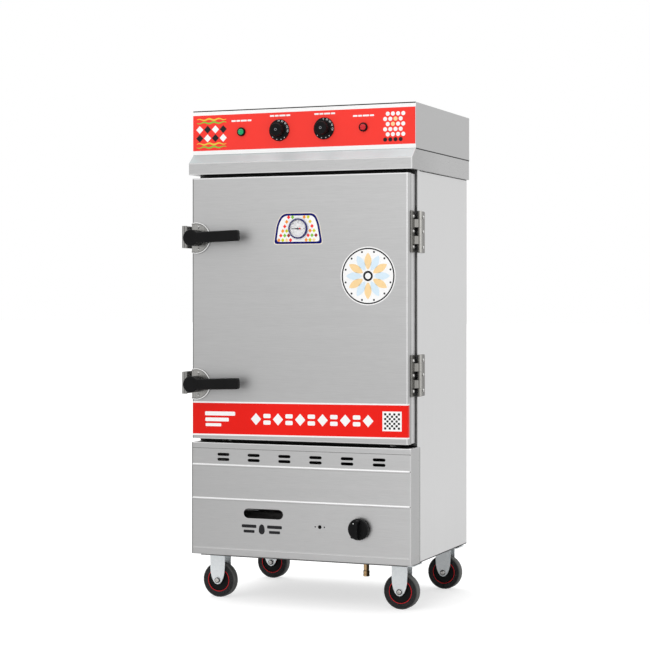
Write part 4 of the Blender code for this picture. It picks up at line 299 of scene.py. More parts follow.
def galvanised(name):
    """Bright zinc with faint spangle and small scuffs."""
    tree = start_material(name, (0.6, 0.645, 0.67), 0.42, 0.85)
    spangle = node(tree, "TexVoronoi", {"Vector": object_coordinates(tree), "Scale": 130.0})["Color"]
    speck = noise(tree, 300.0)
    mixed = weighted(spangle, 0.3, speck)
    shift = remap(mixed, 0.0, 1.0, 0.2, 0.8)
    colour = blend_colours(shift, (0.76, 0.8, 0.82), (0.9, 0.93, 0.94))
    dress(tree, colour, bump(speck, 0.1, 0.0002, 0.0008), remap(mixed, 0.34, 0.52, 0.2, 0.8))


def plain_metal(name, colour, roughness, edge=0.0006, scale=220.0, painted_light=()):
    """Cast, turned or pressed metal with light surface variation."""
    tree = start_material(name, colour, roughness, 1.0)
    speck = noise(tree, scale, 3.0)
    base = toned(colour, speck, 0.86, 1.1, place_factors(tree, painted_light))
    rough = remap(speck, roughness - 0.06, roughness + 0.08)
    dress(tree, base, bump(speck, 0.08, 0.0002, edge), rough)


def moulded(name, colour, roughness, specular=0.5):
    """Moulded plastic or powder coat with a fine leathered surface."""
    tree = start_material(name, colour, roughness, specular=specular)
    scuff = noise(tree, 35.0, 3.0)
    rough = remap(scuff, roughness - 0.05, roughness + 0.07)
    base = toned(colour, scuff, 0.8, 1.25)
    dress(tree, base, bump(noise(tree, 900.0), 0.12, 0.00012, 0.0008), rough)


def printed(name, colour, roughness=0.34, specular=0.22, painted_light=()):
    """Printed vinyl film with a faint orange-peel."""
    tree = start_material(name, colour, roughness, specular=specular)
    cloud = noise(tree, 6.0)
    base = toned(colour, cloud, 0.965, 1.02, place_factors(tree, painted_light))
    rough = remap(cloud, roughness - 0.03, roughness + 0.04)
    dress(tree, base, bump(noise(tree, 420.0), 0.04, 0.00005), rough)


def head_face(name):
    """The head's face film: red between a white band above and one below, set by height."""
    tree = start_material(name, RED, 0.34, specular=0.25)
    height = separate(tree)[2]
    above = maths("GREATER_THAN", height, BAND_TOP_Z)
    below = maths("LESS_THAN", height, BAND_BOTTOM_Z)
    red = toned(RED, noise(tree, 5.0), 0.96, 1.0)
    colour = blend_colours(maths("ADD", above, below), red, WHITE)
    dress(tree, colour, bump(noise(tree, 420.0), 0.04, 0.00005))


def ringed_case(name, ring, stem):
    """Painted ring in front of the door, bare steel for the stem behind it."""
    tree = start_material(name, ring, 0.32, 0.2)
    behind = maths("GREATER_THAN", separate(tree)[1], ORIGIN.y + DOOR_FRONT_Y)
    scuff = remap(noise(tree, 120.0, 3.0), 0.9, 1.05)
    colour = scaled(blend_colours(behind, ring, stem), [scuff])
    dress(tree, colour, soft_edge(tree, 0.0004))
    fill(tree.nodes[SHADER], {"Metallic": remap(behind, 0.2, 1.0, 0.0, 1.0)})


def jewel(name, colour):
    """Moulded lamp lens with fine ribs."""
    tree = start_material(name, colour, 0.18, specular=0.3)
    place = {"Vector": object_coordinates(tree), "Scale": 60.0}
    ribs = node(tree, "TexWave", place, wave_type="RINGS", rings_direction="Y")["Fac"]
    dark, light = tuple(c * 0.7 for c in colour), tuple(min(c * 1.25 + 0.01, 1.0) for c in colour)
    fill(tree.nodes[SHADER], {"Coat Weight": 0.15, "Base Color": blend_colours(ribs, dark, light)})


def clear_glass(name):
    """Lens glass with a faint smear."""
    tree = start_material(name, grey(1.0), 0.03)
    rough = remap(noise(tree, 40.0), 0.02, 0.07)
    fill(tree.nodes[SHADER], {"Transmission Weight": 1.0, "IOR": 1.25, "Roughness": rough})


def foam(name):
    """Yellowed open foam."""
    tree = start_material(name, (0.72, 0.62, 0.34), 0.9)
    cells = noise(tree, 500.0, 3.0)
    colour = blend_colours(remap(cells, 0.0, 1.0), (0.6, 0.5, 0.25), (0.8, 0.71, 0.44))
    dress(tree, colour, bump(cells, 0.5, 0.0006))


def wheel_rubber(name, place_x):
    """Dark wheel with a darker core and, by its distance from the axle, a worn grey tread."""
    core_radius, tread_start, tread_end = 0.0345, 0.0485, 0.0515
    tree = start_material(name, (0.02, 0.02, 0.021), 0.6, specular=0.15)
    across, up = distance_from(tree, 0, place_x), distance_from(tree, 2, WHEEL_RADIUS)
    squares = maths("ADD", maths("MULTIPLY", across, across), maths("MULTIPLY", up, up))
    radius = maths("SQRT", squares)
    dust = noise(tree, 260.0, 3.0)
    side = blend_colours(remap(dust, 0.0, 1.0), (0.006, 0.006, 0.0065), (0.034, 0.034, 0.035))
    core = blend_colours(maths("GREATER_THAN", radius, core_radius), (0.004, 0.0045, 0.005), side)
    worn = remap(radius, 0.0, 1.0, tread_start, tread_end)
    colour = blend_colours(worn, core, (0.12, 0.12, 0.117))
    dress(tree, colour, bump(dust, 0.25, 0.0003, 0.001))


RED = (0.92, 0.036, 0.024)
WHITE = (0.9, 0.9, 0.895)
NAVY = (0.004, 0.006, 0.13)
FILM_COLOURS = {
    "red": RED, "white": WHITE, "black": (0.012, 0.012, 0.014), "grey": (0.4, 0.41, 0.44),
    "cream": (0.86, 0.78, 0.66), "peach": (0.92, 0.66, 0.34), "sky": (0.66, 0.8, 0.9),
    "cyan": (0.5, 0.78, 0.84), "gold": (0.78, 0.56, 0.06), "orange": (0.9, 0.3, 0.04),
    "maroon": (0.35, 0.03, 0.02), "lime": (0.6, 0.62, 0.01), "green": (0.22, 0.52, 0.05),
}
# One steel in two tones: darker for faces towards the front, lighter for the sides, painted light for how
# each is lit
FRONT_TONE = grey(0.57)
SIDE_TONE = grey(0.63)
# Reach of the painted shade in gaps
GAP_SHADE_REACH = 0.03

# Painted light and shade, as place_factors reads them: gradients across and up the parts, and lighter or
# darker faces and strips where light falls on them or doesn't; and the door's two sides
ACROSS = (-DOOR_HALF_WIDTH, DOOR_HALF_WIDTH)
# Painted light on the door: lighter to the right and higher up, with painted shade on its right side face
DOOR_PAINTED_LIGHT = ((0, *ACROSS, 0.97, 1.09), (2, 0.65, 1.25, 1.02, 1.14), (0, 0.3436, 0.3446, 1.0, 0.8))
# Painted light on the lower panel: lighter to the right, with painted shade on its right return
LOWER_PAINTED_LIGHT = ((0, *ACROSS, 0.88, 1.07), (0, 0.3508, 0.352, 1.0, 0.8))
# Painted light on the body's sides: lighter towards the bottom
SHELL_PAINTED_LIGHT = ((2, 1.25, 0.95, 1.0, 1.07), (2, 0.9, 0.35, 1.0, 1.13))
# Painted shade on the canopy's right side, and painted light: lighter to the right, darker towards the front
CANOPY_PAINTED_LIGHT = ((0, 0.357, 0.3584, 1.0, 0.55), (0, *ACROSS, 1.075, 1.22), (1, 0.03, 0.25, 0.87, 1.0))
# Painted shade: the tank's front face nearly black
TANK_PAINTED_SHADE = ((1, TANK_FRONT_Y + 0.0002, TANK_FRONT_Y + 0.0006, 0.06, 1.0),)
# Painted light on the brass: lit in a band about the gas knob's centre line, painted shade to the right and,
# less, to the left
BRASS_PAINTED_LIGHT = ((0, GAS_X + 0.001, GAS_X + 0.005, 1.0, 0.05), (0, GAS_X - 0.007, GAS_X - 0.003, 0.35, 1.0))
# Painted highlight down the right of the hinge barrels, and painted shade on the leaves towards the back
HINGE_PAINTED_LIGHT = ((0, 0.3598, 0.3622, 1.0, 1.9), (1, HINGE_Y + 0.03, HINGE_Y + 0.04, 1.0, 0.72))

# Ridges, as ridge_factors reads them: painted highlights along folded edges, creases and the lower panel's
# beads, and painted shade on the beads' undersides
DOOR_RIDGE_LIGHT = (
    (2, 0.4902, 0.0024, 1.5, 0.343), (2, DOOR_TOP_Z, 0.0024, 1.35, 0.343), (0, 0.3428, 0.0022, 1.35, 0),
)
CANOPY_RIDGE_LIGHT = (
    (0, 0.356, 0.0024, 1.3, 0),
    (2, CANOPY_SLOPE_Z - 0.0012, 0.0022, 1.25, 0.354),
    (2, CANOPY_BOTTOM_Z + 0.0014, 0.0022, 1.25, 0.354),
)
LOWER_RIDGE_LIGHT = (
    (2, 0.477, 0.0024, 1.6, 0.35), (2, 0.1605, 0.003, 1.15, 0.345), (0, 0.35, 0.002, 1.15, 0),
    (2, 0.4108, 0.0038, 1.65, 0.345), (2, 0.3093, 0.0038, 1.65, 0.345),
    (2, 0.4064, 0.0016, 0.85, 0.346), (2, 0.3049, 0.0016, 0.85, 0.346),
)

# Areas kept free of the painted gap shade, as gap_factor reads them
DOOR_OPENING = (0.344, 0.49, 1.2735, 0.45, 0.85)
DOOR_FACE = (0.3436, DOOR_BOTTOM_Z, DOOR_TOP_Z, 0.25, 0.6)

# Every finish of the cabinet
brushed_steel("steel_shell", SIDE_TONE, 0.36, UPRIGHT, contrast=0.03, painted_light=SHELL_PAINTED_LIGHT)
# The face frame's steel is set darker than the rest: painted shade for the gaps round the door
brushed_steel("steel_frame", grey(0.42), 0.4, gap=GAP_SHADE_REACH, clear=DOOR_OPENING)
brushed_steel("steel_chamber", FRONT_TONE, 0.38)
brushed_steel("steel_tank", FRONT_TONE, 0.4, painted_light=TANK_PAINTED_SHADE)
brushed_steel("steel_tray", SIDE_TONE, 0.3, edge=0.0005)
brushed_steel("steel_head", grey(0.45), 0.38, contrast=0.04)
brushed_steel("steel_canopy", grey(0.64), 0.3, painted_light=CANOPY_PAINTED_LIGHT, ridge_light=CANOPY_RIDGE_LIGHT,
              gap=GAP_SHADE_REACH)
brushed_steel("steel_lower_panel", grey(0.6), 0.38, painted_light=LOWER_PAINTED_LIGHT, ridge_light=LOWER_RIDGE_LIGHT,
              gap=GAP_SHADE_REACH)
brushed_steel("steel_door", grey(0.535), 0.46, painted_light=DOOR_PAINTED_LIGHT, ridge_light=DOOR_RIDGE_LIGHT,
              gap=GAP_SHADE_REACH, clear=DOOR_FACE)
# The base frame nearly black: painted shade under the body
brushed_steel("steel_base", grey(0.1), 0.45)
brushed_steel("steel_hinge", (0.27, 0.265, 0.25), 0.26, UPRIGHT, 0.0006, 0.2, HINGE_PAINTED_LIGHT, gap=0.012)
brushed_steel("steel_latch", (0.4, 0.395, 0.38), 0.26, UPRIGHT, 0.0006, 0.24, gap=0.01)
# Painted shade on the canopy's slope, darker towards the left
satin_sheet("steel_slope", (0.66, 0.73, 0.74), 0.4, 0.15, 0.1, [(0, -DOOR_HALF_WIDTH, 0.1, 0.74, 1.0)])
# Painted highlight on the door pan's right side face
satin_sheet("steel_pan", grey(0.52), 0.42, 0.35, 0.03, [(0, 0.3428, 0.3434, 1.0, 1.3)])
galvanised("zinc_fork")
plain_metal("steel_screw", (0.62, 0.615, 0.6), 0.18, edge=0.0004)
plain_metal("steel_polish", (0.92, 0.92, 0.91), 0.16, edge=0.0004)
plain_metal("steel_pipe", (0.55, 0.55, 0.54), 0.34)
plain_metal("iron_burner", (0.2, 0.195, 0.19), 0.55, scale=90.0)
plain_metal("brass_fittings", (0.66, 0.44, 0.23), 0.3, painted_light=BRASS_PAINTED_LIGHT)
moulded("plastic_handle", (0.0035, 0.0035, 0.0038), 0.42, 0.14)
moulded("plastic_knob", (0.0045, 0.0045, 0.005), 0.38, 0.12)
moulded("plastic_switch", (0.06, 0.06, 0.065), 0.55)
moulded("ceramic_switch", (0.72, 0.7, 0.64), 0.45)
foam("foam_filling")
head_face("film_head_face")
jewel("lamp_green_lens", (0.001, 0.36, 0.13))
jewel("lamp_red_lens", (0.6, 0.003, 0.012))
ringed_case("thermometer_ring", NAVY, (0.55, 0.55, 0.54))
clear_glass("thermometer_glass")
printed("rubber_gasket", (0.3, 0.3, 0.295), 0.6, 0.3)
printed("needle_black", (0.02, 0.02, 0.025))
printed("dial_silver", grey(1.0))
printed("mark_white", (0.82, 0.84, 0.84))
# The lid's fold dark grey, painted shade, darker still towards the right
printed("lid_fold", (0.16, 0.16, 0.165), painted_light=[(0, *ACROSS, 1.0, 0.3)])
# The red strip darker towards the left: painted shade
printed("film_strip_red", (0.82, 0.012, 0.007), specular=0.1,
        painted_light=[(0, -DOOR_HALF_WIDTH, -0.1, 0.86, 1.0)])
printed("film_wheel_band", (0.88, 0.018, 0.028), specular=0.1)
printed("film_navy", NAVY, specular=0.08)
# Dark films: painted shade, shadow and dark reflection along edges, creases and seams, in holes, and dark
# joints
printed("film_edge", grey(0.2), specular=0.05)
printed("film_shade", grey(0.006), specular=0.05)
for label, colour in FILM_COLOURS.items():
    printed(f"film_{label}", colour)
for corner, (x, _) in CORNERS.items():
    wheel_rubber(f"rubber_{corner}", x)

# How the names of the nodes of each finish start
NODE_FINISHES = {
    "steel_shell": "body_shell back_panel",
    "steel_frame": "front_frame",
    "steel_chamber": "chamber_liner tray_rack",
    "steel_tank": "water_tank",
    "steel_tray": "rice_tray",
    "steel_head": "control_box_cover",
    "steel_canopy": "canopy",
    "steel_lower_panel": "lower_front_panel",
    "steel_door": "door_skin",
    "steel_pan": "door_pan",
    "steel_base": "base_frame",
    "steel_hinge": "hinge_",
    "steel_latch": "latch_flange latch_keeper",
    "steel_pipe": "drain_pipe steam_vent_pipe",
    "iron_burner": "gas_burner heating_elements",
    "brass_fittings": "gas_valve gas_inlet_nipple gas_stem",
    "zinc_fork": "caster_fork",
    "plastic_handle": "latch_handle",
    "plastic_knob": "thermostat_knob timer_knob gas_knob",
    "plastic_switch": "timer_body cable_gland",
    "ceramic_switch": "thermostat_body",
    "foam_filling": "insulation_jacket door_core",
    "rubber_gasket": "door_gasket",
    "film_head_face": "control_panel",
    "lamp_green_lens": "pilot_lamp_green",
    "lamp_red_lens": "pilot_lamp_red",
    "thermometer_ring": "thermometer_case",
    "thermometer_glass": "thermometer_lens",
    "needle_black": "thermometer_needle",
}
for corner in CORNERS:
    NODE_FINISHES[f"rubber_{corner}"] = f"caster_wheel_{corner}"

for name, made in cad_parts.items():
    finish = next(key for key, starts in NODE_FINISHES.items() if name.startswith(tuple(starts.split())))
    if not made.material_slots:
        made.data.materials.append(FINISHES[finish])
    for slot in made.material_slots:
        slot.material = FINISHES[finish]


# Pieces
def add_object(name, data):
    made = bpy.data.objects.new(name, data)
    bpy.context.scene.collection.objects.link(made)
    return made


def add_mesh(name, shape, material):
    """Makes an object of a bmesh that is already in the frame's coordinates."""
    mesh = bpy.data.meshes.new(name)
    shape.to_mesh(mesh)
    shape.free()
    mesh.materials.append(material)
    return add_object(name, mesh)


def piece(name, shape, finish, home):
    """A part of the visual model. Its home is a body and a slot; the slot is not used."""
    body, slot = home
    bmesh.ops.recalc_face_normals(shape, faces=shape.faces)
    made = add_mesh(name, shape, FINISHES[finish])
    made.data.shade_smooth()
    made.data.set_sharp_from_angle(angle=math.radians(32.0))
    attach(made, body)


def skin(shape, loops, ring=False):
    """Joins loops of equal length, and closes the ends or, for a ring, joins the last to the first."""
    rows = [[shape.verts.new(point) for point in loop] for loop in loops]
    pairs = list(zip(rows, rows[1:]))
    if ring:
        pairs.append((rows[-1], rows[0]))
    else:
        shape.faces.new(rows[0])
        shape.faces.new(rows[-1])
    for low, high in pairs:
        for i in range(len(low)):
            j = (i + 1) % len(low)
            shape.faces.new((low[i], low[j], high[j], high[i]))


def plates(outlines, front, thickness=LAYER):
    """Thin plates facing the front. Each outline lists (x, z); front is the plate's own front plane."""
    shape = bmesh.new()
    for outline in outlines:
        skin(shape, [[at(x, y, z) for x, z in outline] for y in (front, front + thickness)])
    return shape


def rings(outer, inner, front, thickness=LAYER):
    """A flat frame between two outlines of equal length."""
    shape = bmesh.new()
    back = front + thickness
    stations = [(outer, front), (outer, back), (inner, back), (inner, front)]
    skin(shape, [[at(x, y, z) for x, z in outline] for outline, y in stations], ring=True)
    return shape


def side_slab(outline, ends):
    """A solid between two places along X. The outline lists (y, z)."""
    shape = bmesh.new()
    skin(shape, [[at(x, y, z) for y, z in outline] for x in ends])
    return shape


def hoop(centre, profile, sides, way=1):
    """A closed ring round an axis along Y. The profile lists (radius, distance along Y, times the way)."""
    x, y, z = centre
    shape = bmesh.new()
    loops = [[at(a, y + way * lift, b) for a, b in disc((x, z), radius, sides)] for radius, lift in profile]
    skin(shape, loops, ring=True)
    return shape


def swung(centre, reach, angle, across=0.0):
    """The point at a reach from a centre in a direction, and a distance across to the direction's left."""
    return (centre[0] + reach * math.cos(angle) - across * math.sin(angle),
            centre[1] + reach * math.sin(angle) + across * math.cos(angle))


def disc(centre, radius, sides=48):
    return [swung(centre, radius, math.tau * i / sides) for i in range(sides)]


def round_band(centre, outer, inner, front, sides, thickness=LAYER):
    return rings(disc(centre, outer, sides), disc(centre, inner, sides), front, thickness)


def oblong(left, low, right, high):
    return [(left, low), (right, low), (right, high), (left, high)]


def bar(centre, width, height, turn=0.0):
    """A round-cornered bar, turned about its centre."""
    radius = min(width, height) * 0.28
    points = []
    for i, (a, b) in enumerate([(1, 1), (-1, 1), (-1, -1), (1, -1)]):
        corner = (a * (width / 2 - radius), b * (height / 2 - radius))
        for step in range(5):
            x, z = swung(corner, radius, math.pi / 2 * (i + step / 4))
            points.append(swung(centre, x, turn, z))
    return points


def diamond(centre, width, height):
    x, z = centre
    return [(x + width / 2, z), (x, z + height / 2), (x - width / 2, z), (x, z - height / 2)]


def there_and_back(steps, count):
    """Side 1 with shares that rise from 0, then side -1 with shares that fall from 1."""
    for side in (1, -1):
        for step in range(count):
            yield side, step / steps if side > 0 else 1 - step / steps


def petal(centre, start, end, half_width, angle):
    """A leaf shape that points away from a centre."""
    points = []
    for side, share in there_and_back(10, 10):
        across = side * half_width * math.sin(math.pi * share) ** 0.8
        points.append(swung(centre, start + (end - start) * share, angle, across))
    return points


def ripple(start, length, half_width, swing, cycles):
    """A level wavy band from a start point, thinner at both ends."""
    points = []
    for side, share in there_and_back(24, 25):
        wave = swing * math.sin(math.tau * cycles * share)
        half = half_width * math.sin(math.pi * (0.08 + 0.84 * share))
        points.append((start[0] + length * share, start[1] + wave + side * half))
    return points


def arc_band(centre, inner, outer, start, end, steps=40):
    """A band of a ring between two angles in degrees."""
    angles = [math.radians(start + (end - start) * i / steps) for i in range(steps + 1)]
    return [swung(centre, outer, a) for a in angles] + [swung(centre, inner, a) for a in reversed(angles)]


def turned_on(shape, centre, axis, profile, hexagon_below=0.0, ring=False):
    """Turns (radius, height) about an axis from a centre. Radii up to hexagon_below follow a hexagon."""
    sides = 28
    side = axis.orthogonal().normalized()
    other = axis.cross(side)
    loops = []
    for radius, height in profile:
        loop = []
        for i in range(sides):
            angle = math.tau * i / sides
            reach = radius
            if radius <= hexagon_below:
                wedge = (angle + math.pi / 6) % (math.pi / 3) - math.pi / 6
                reach = radius * math.cos(math.pi / 6) / math.cos(wedge)
            point = centre + axis * height + side * reach * math.cos(angle)
            loop.append(point + other * reach * math.sin(angle))
        loops.append(loop)
    skin(shape, loops, ring)


def button_screws(name, places, axis, radius, height, home, finish="steel_screw"):
    """Dome-headed screws with a hexagon socket."""
    shape = bmesh.new()
    socket = radius * 0.42
    profile = [(socket * 0.9, height * 0.45), (socket, height)]
    for step in range(1, 6):
        angle = math.pi / 2 * step / 5
        reach = socket + (radius - socket) * math.sin(angle)
        profile.append((reach, height * (0.25 + 0.75 * math.cos(angle))))
    profile.append((radius, 0.0))
    for place in places:
        turned_on(shape, place, axis, profile, hexagon_below=socket)
    piece(name, shape, finish, home)


def glyph_mesh(text, size):
    """Outline of short text as a flat mesh, centred."""
    curve = bpy.data.curves.new("numeral", "FONT")
    curve.body = text
    curve.size = size
    curve.align_x = curve.align_y = "CENTER"
    curve.resolution_u = 3
    holder = add_object("numeral", curve)
    bpy.context.view_layer.update()
    mesh = bpy.data.meshes.new_from_object(holder.evaluated_get(bpy.context.evaluated_depsgraph_get()))
    bpy.data.objects.remove(holder)
    bpy.data.curves.remove(curve)
    return mesh


def add_glyphs(shape, mesh, depth):
    """Adds flat glyphs to a shape as a closed layer of some depth, and frees their mesh."""
    start = len(shape.faces)
    shape.from_mesh(mesh)
    bpy.data.meshes.remove(mesh)
    shape.faces.index_update()
    made = bmesh.ops.extrude_face_region(shape, geom=[face for face in shape.faces if face.index >= start])
    moved = [item for item in made["geom"] if isinstance(item, bmesh.types.BMVert)]
    bmesh.ops.translate(shape, verts=moved, vec=Vector((0, depth, 0)))


# Door
def door_film(name, outlines, layers, finish):
    """Flat shapes on the door's front, and how many film layers they stand out."""
    piece(name, plates(outlines, DOOR_FRONT_Y - layers * LAYER), f"film_{finish}", ON_DOOR)


def on_strip(x, z):
    """A point at a height over the strip's middle line."""
    return (x, STRIP_Z + STRIP_SLOPE * x + z)


def strip_path(lift):
    """The strip's way in plan, as (x, y): along the door's front, round its right bend and onto its side."""
    radius = 0.003
    bend = (DOOR_HALF_WIDTH - radius, DOOR_FRONT_Y + radius)
    points = [(-DOOR_HALF_WIDTH + 0.0022, DOOR_FRONT_Y + 0.0001 - lift)]
    points += [swung(bend, radius + lift, math.pi / 2 * (step / 8 - 1)) for step in range(9)]
    return points + [(DOOR_HALF_WIDTH + lift, DOOR_FRONT_Y + 0.0165)]


def door_strip():
    """Red film with white edges that wraps round the door's right bend, laid a little out of level."""
    outline = strip_path(LAYER) + strip_path(HAIR)[::-1]
    outer = STRIP_HALF + STRIP_BORDER
    bands = {
        "door_strip_red": ("film_strip_red", -STRIP_HALF, STRIP_HALF),
        "door_strip_edge_low": ("film_white", -outer, -STRIP_HALF - HAIR),
        "door_strip_edge_high": ("film_white", STRIP_HALF + HAIR, outer),
    }
    for name, (finish, bottom, top) in bands.items():
        shape = bmesh.new()
        skin(shape, [[at(x, y, on_strip(x, z)[1]) for x, y in outline] for z in (bottom, top)])
        piece(name, shape, finish, ON_DOOR)
    # A dark grey line down the door's left edge, painted dark reflection on its bend, broken where the strip
    # crosses
    spans = ((DOOR_BOTTOM_Z, STRIP_Z - outer - 0.0042), (STRIP_Z + outer - 0.0024, 1.272))
    door_film("door_edge_line", [oblong(-0.3428, low, -0.3404, high) for low, high in spans], 1, "edge")
    joint = side_slab(oblong(0.0184, 0.4915, 0.02, 1.2715), (DOOR_HALF_WIDTH, DOOR_HALF_WIDTH + LAYER))
    piece("door_side_joint", joint, "film_shade", ON_DOOR)


def door_strip_marks():
    """Diamonds and bars along the strip, three bars at its left and a chequered square at its right."""
    marks = []
    for i in range(11):
        x = -0.1335 + i * 0.0357
        if i % 2 == 0:
            marks.append(diamond(on_strip(x, 0.0), 0.033, 0.036))
        else:
            marks += [bar(on_strip(x, z), 0.0235, 0.0125, STRIP_SLOPE) for z in (0.0098, -0.0098)]
    for x, z, width, height in (
        (-0.252, 0.015, 0.1, 0.012), (-0.262, -0.003, 0.078, 0.011), (-0.274, -0.019, 0.052, 0.009),
    ):
        marks.append(bar(on_strip(x, z), width, height, STRIP_SLOPE))
    door_film("door_strip_marks", marks, 2, "white")
    patch_x = 0.2975
    patch = [on_strip(patch_x + x, z) for x, z in oblong(-0.0295, -0.0285, 0.0295, 0.0285)]
    door_film("door_strip_patch", [patch], 2, "white")
    cells = [(row, column) for row in range(7) for column in range(7) if (row + column) % 2 == 0]
    checks = [bar(on_strip(patch_x + (column - 3) * 0.007, (row - 3) * 0.0068), 0.0067, 0.0065)
              for row, column in cells]
    door_film("door_strip_checks", checks, 3, "black")


def round_decal():
    """Round film with a petal rosette."""
    centre, radius = (0.2231, 0.9766), 0.085
    top = DOOR_FRONT_Y - 2 * LAYER
    door_film("decal_round_ground", [disc(centre, radius, 96)], 1, "white")
    edge = round_band(centre, radius - 0.003, radius - 0.007, top, 96)
    piece("decal_round_edge", edge, "film_black", ON_DOOR)
    petals = [petal(centre, 0.018, 0.068, 0.011, math.tau * i / 12) for i in range(12)]
    door_film("decal_round_petals_peach", petals[1::2], 2, "peach")
    door_film("decal_round_petals_sky", petals[::2], 2, "sky")
    piece("decal_round_hub", round_band(centre, 0.015, 0.009, top, 48), "film_black", ON_DOOR)
    dots = [disc(swung(centre, 0.072, math.tau * (i + 0.5) / 12), 0.003, 16) for i in range(12)]
    door_film("decal_round_dots", dots, 2, "black")


def with_neighbours(points):
    """Each point of a closed outline between the one before it and the one after it."""
    return zip(points[-1:] + points[:-1], points, points[1:] + points[:1])


def dial_film_outline(inset, steps=7):
    """The thermometer film's outline: straight foot, leaning sides and broad round shoulders."""
    corners = [
        ((-0.0741, 1.073), 0.011), ((0.0797, 1.073), 0.011), ((0.069, 1.133), 0.02),
        ((0.056, 1.162), 0.026), ((-0.048, 1.162), 0.026), ((-0.065, 1.133), 0.02),
    ]
    placed = []
    for before, here, after in with_neighbours([Vector(corner) for corner, _ in corners]):
        first, second = (here - before).normalized(), (after - here).normalized()
        inward = (first + second).normalized().orthogonal()
        placed.append(here + inward * inset / inward.dot(first.orthogonal()))
    points = []
    for (before, here, after), (_, radius) in zip(with_neighbours(placed), corners):
        radius = min(radius, 0.49 * (before - here).length, 0.49 * (after - here).length)
        start = here + (before - here).normalized() * radius
        end = here + (after - here).normalized() * radius
        for step in range(steps + 1):
            share = step / steps
            points.append(tuple(start.lerp(here, share).lerp(here.lerp(end, share), share)))
    return points


def thermometer_film():
    """Navy-edged film round the dial, with an even lattice of coloured diamonds."""
    door_film("decal_dial_margin", [dial_film_outline(-0.0024)], 1, "cream")
    edge = rings(dial_film_outline(-0.0004), dial_film_outline(0.006), DOOR_FRONT_Y - 2 * LAYER)
    piece("decal_dial_edge", edge, "film_navy", ON_DOOR)
    door_film("decal_dial_ground", [dial_film_outline(0.0061)], 1.5, "white")
    colours = ("maroon", "gold", "orange", "lime", "peach", "red", "green")
    lattice = {label: [] for label in colours}
    pitch_x, pitch_z, low, clear_radius = 0.0125, 0.0135, 1.084, 0.0365
    for row in range(6):
        z = low + row * pitch_z
        limit = 0.063 - 0.31 * (z - low)
        for column in range(-6, 7):
            x = THERMOMETER[0] + (column + 0.5 * (row % 2)) * pitch_x
            if abs(x - 0.003) < limit and math.dist((x, z), THERMOMETER) > clear_radius:
                lattice[colours[(row * 3 + column) % len(colours)]].append(diamond((x, z), 0.0116, 0.0124))
    for label, outlines in lattice.items():
        door_film(f"decal_dial_{label}", outlines, 2, label)


def dial_face():
    """Silver dial with scale marks and plain numbers under the lens, and the needle's cap and tail."""
    plane = -0.0124
    marks_front = plane - 0.00025
    ground = round_band(THERMOMETER, 0.0262, 0.0014, plane - 0.00015, 64, 0.00013)
    piece("thermometer_dial", ground, "dial_silver", ON_THERMOMETER)
    marks = []
    for i in range(25):
        angle = math.radians(225 - i * 270 / 24)
        length, width = (0.0014, 0.0003) if i % 4 else (0.0026, 0.0005)
        marks.append(bar(swung(THERMOMETER, 0.024 - length / 2, angle), length, width, angle))
    piece("thermometer_marks", plates(marks, marks_front, 0.00008), "film_black", ON_THERMOMETER)
    shape = bmesh.new()
    for i in range(7):
        x, z = swung(THERMOMETER, 0.0185, math.radians(225 - i * 45))
        mesh = glyph_mesh(str(i * 20), 0.0034)
        mesh.transform(Matrix.Translation(at(x, marks_front, z)) @ Matrix.Rotation(math.pi / 2, 4, "X"))
        add_glyphs(shape, mesh, 0.00006)
    piece("thermometer_numbers", shape, "film_black", ON_THERMOMETER)
    cap = [(0.0026, -0.0003), (0.0026, 0.0004), (0.0021, 0.0008)]
    for label, offset, finish in (("cap", 0.0, "needle_black"), ("tail", 0.0062, "film_wheel_band")):
        shape = bmesh.new()
        turned_on(shape, at(THERMOMETER[0] + offset, -0.01445, THERMOMETER[1]), FORWARDS, cap)
        piece(f"thermometer_needle_{label}", shape, finish, ON_NEEDLE)


def hinge_fasteners():
    for level, middle in HINGE_ZS.items():
        for label, body, x, y in (("door", "door", 0.3478, 0.0325), ("body", "cabinet", 0.3538, 0.101)):
            places = [at(x, y, middle + offset) for offset in (0.0442, 0.0009, -0.0447)]
            home = (body, "hinge_steel")
            button_screws(f"hinge_screws_{label}_{level}", places, RIGHTWARDS, 0.0046, 0.003, home)


def flange_edges():
    """The polished rim of each latch flange, a line of painted shade inside it, and a painted shadow line
    outside it on the door.
    """
    for level, z in LATCH_ZS.items():
        centre = (LATCH_X, z)
        rim = plates([arc_band(centre, 0.0442, 0.0472, -104, 104)], -0.0156, 0.0024)
        piece(f"flange_rim_{level}", rim, "steel_polish", ON_FLANGE)
        inner_shade = plates([arc_band(centre, 0.043, 0.0438, -104, 104)], -0.0154)
        piece(f"flange_inner_shade_{level}", inner_shade, "film_edge", ON_FLANGE)
        door_film(f"flange_shadow_{level}", [arc_band(centre, 0.0473, 0.0478, -104, 60)], 1, "edge")


def latch_fasteners():
    """Screws of the latch flanges and keepers, and upright lines of painted shade on the keepers."""
    keeper_front_y = -0.0261
    for level, z in LATCH_ZS.items():
        places = [at(LATCH_X + 0.0069, -0.0136, z + offset) for offset in (0.0335, -0.0335)]
        button_screws(f"latch_screws_{level}", places, FORWARDS, 0.0042, 0.0024, ON_FLANGE)
        # Lines of painted shade on each keeper's face
        lines = [oblong(x, z - 0.0292, x + 0.0013, z + 0.0362) for x in (-0.3707, -0.364, -0.3588)]
        piece(f"keeper_lines_{level}", plates(lines, keeper_front_y - LAYER), "film_shade", ON_KEEPER)
        places = [at(-0.3535, 0.085, z + offset) for offset in (0.0235, -0.0165)]
        button_screws(f"keeper_screws_{level}", places, -RIGHTWARDS, 0.0042, 0.0026, ON_KEEPER)


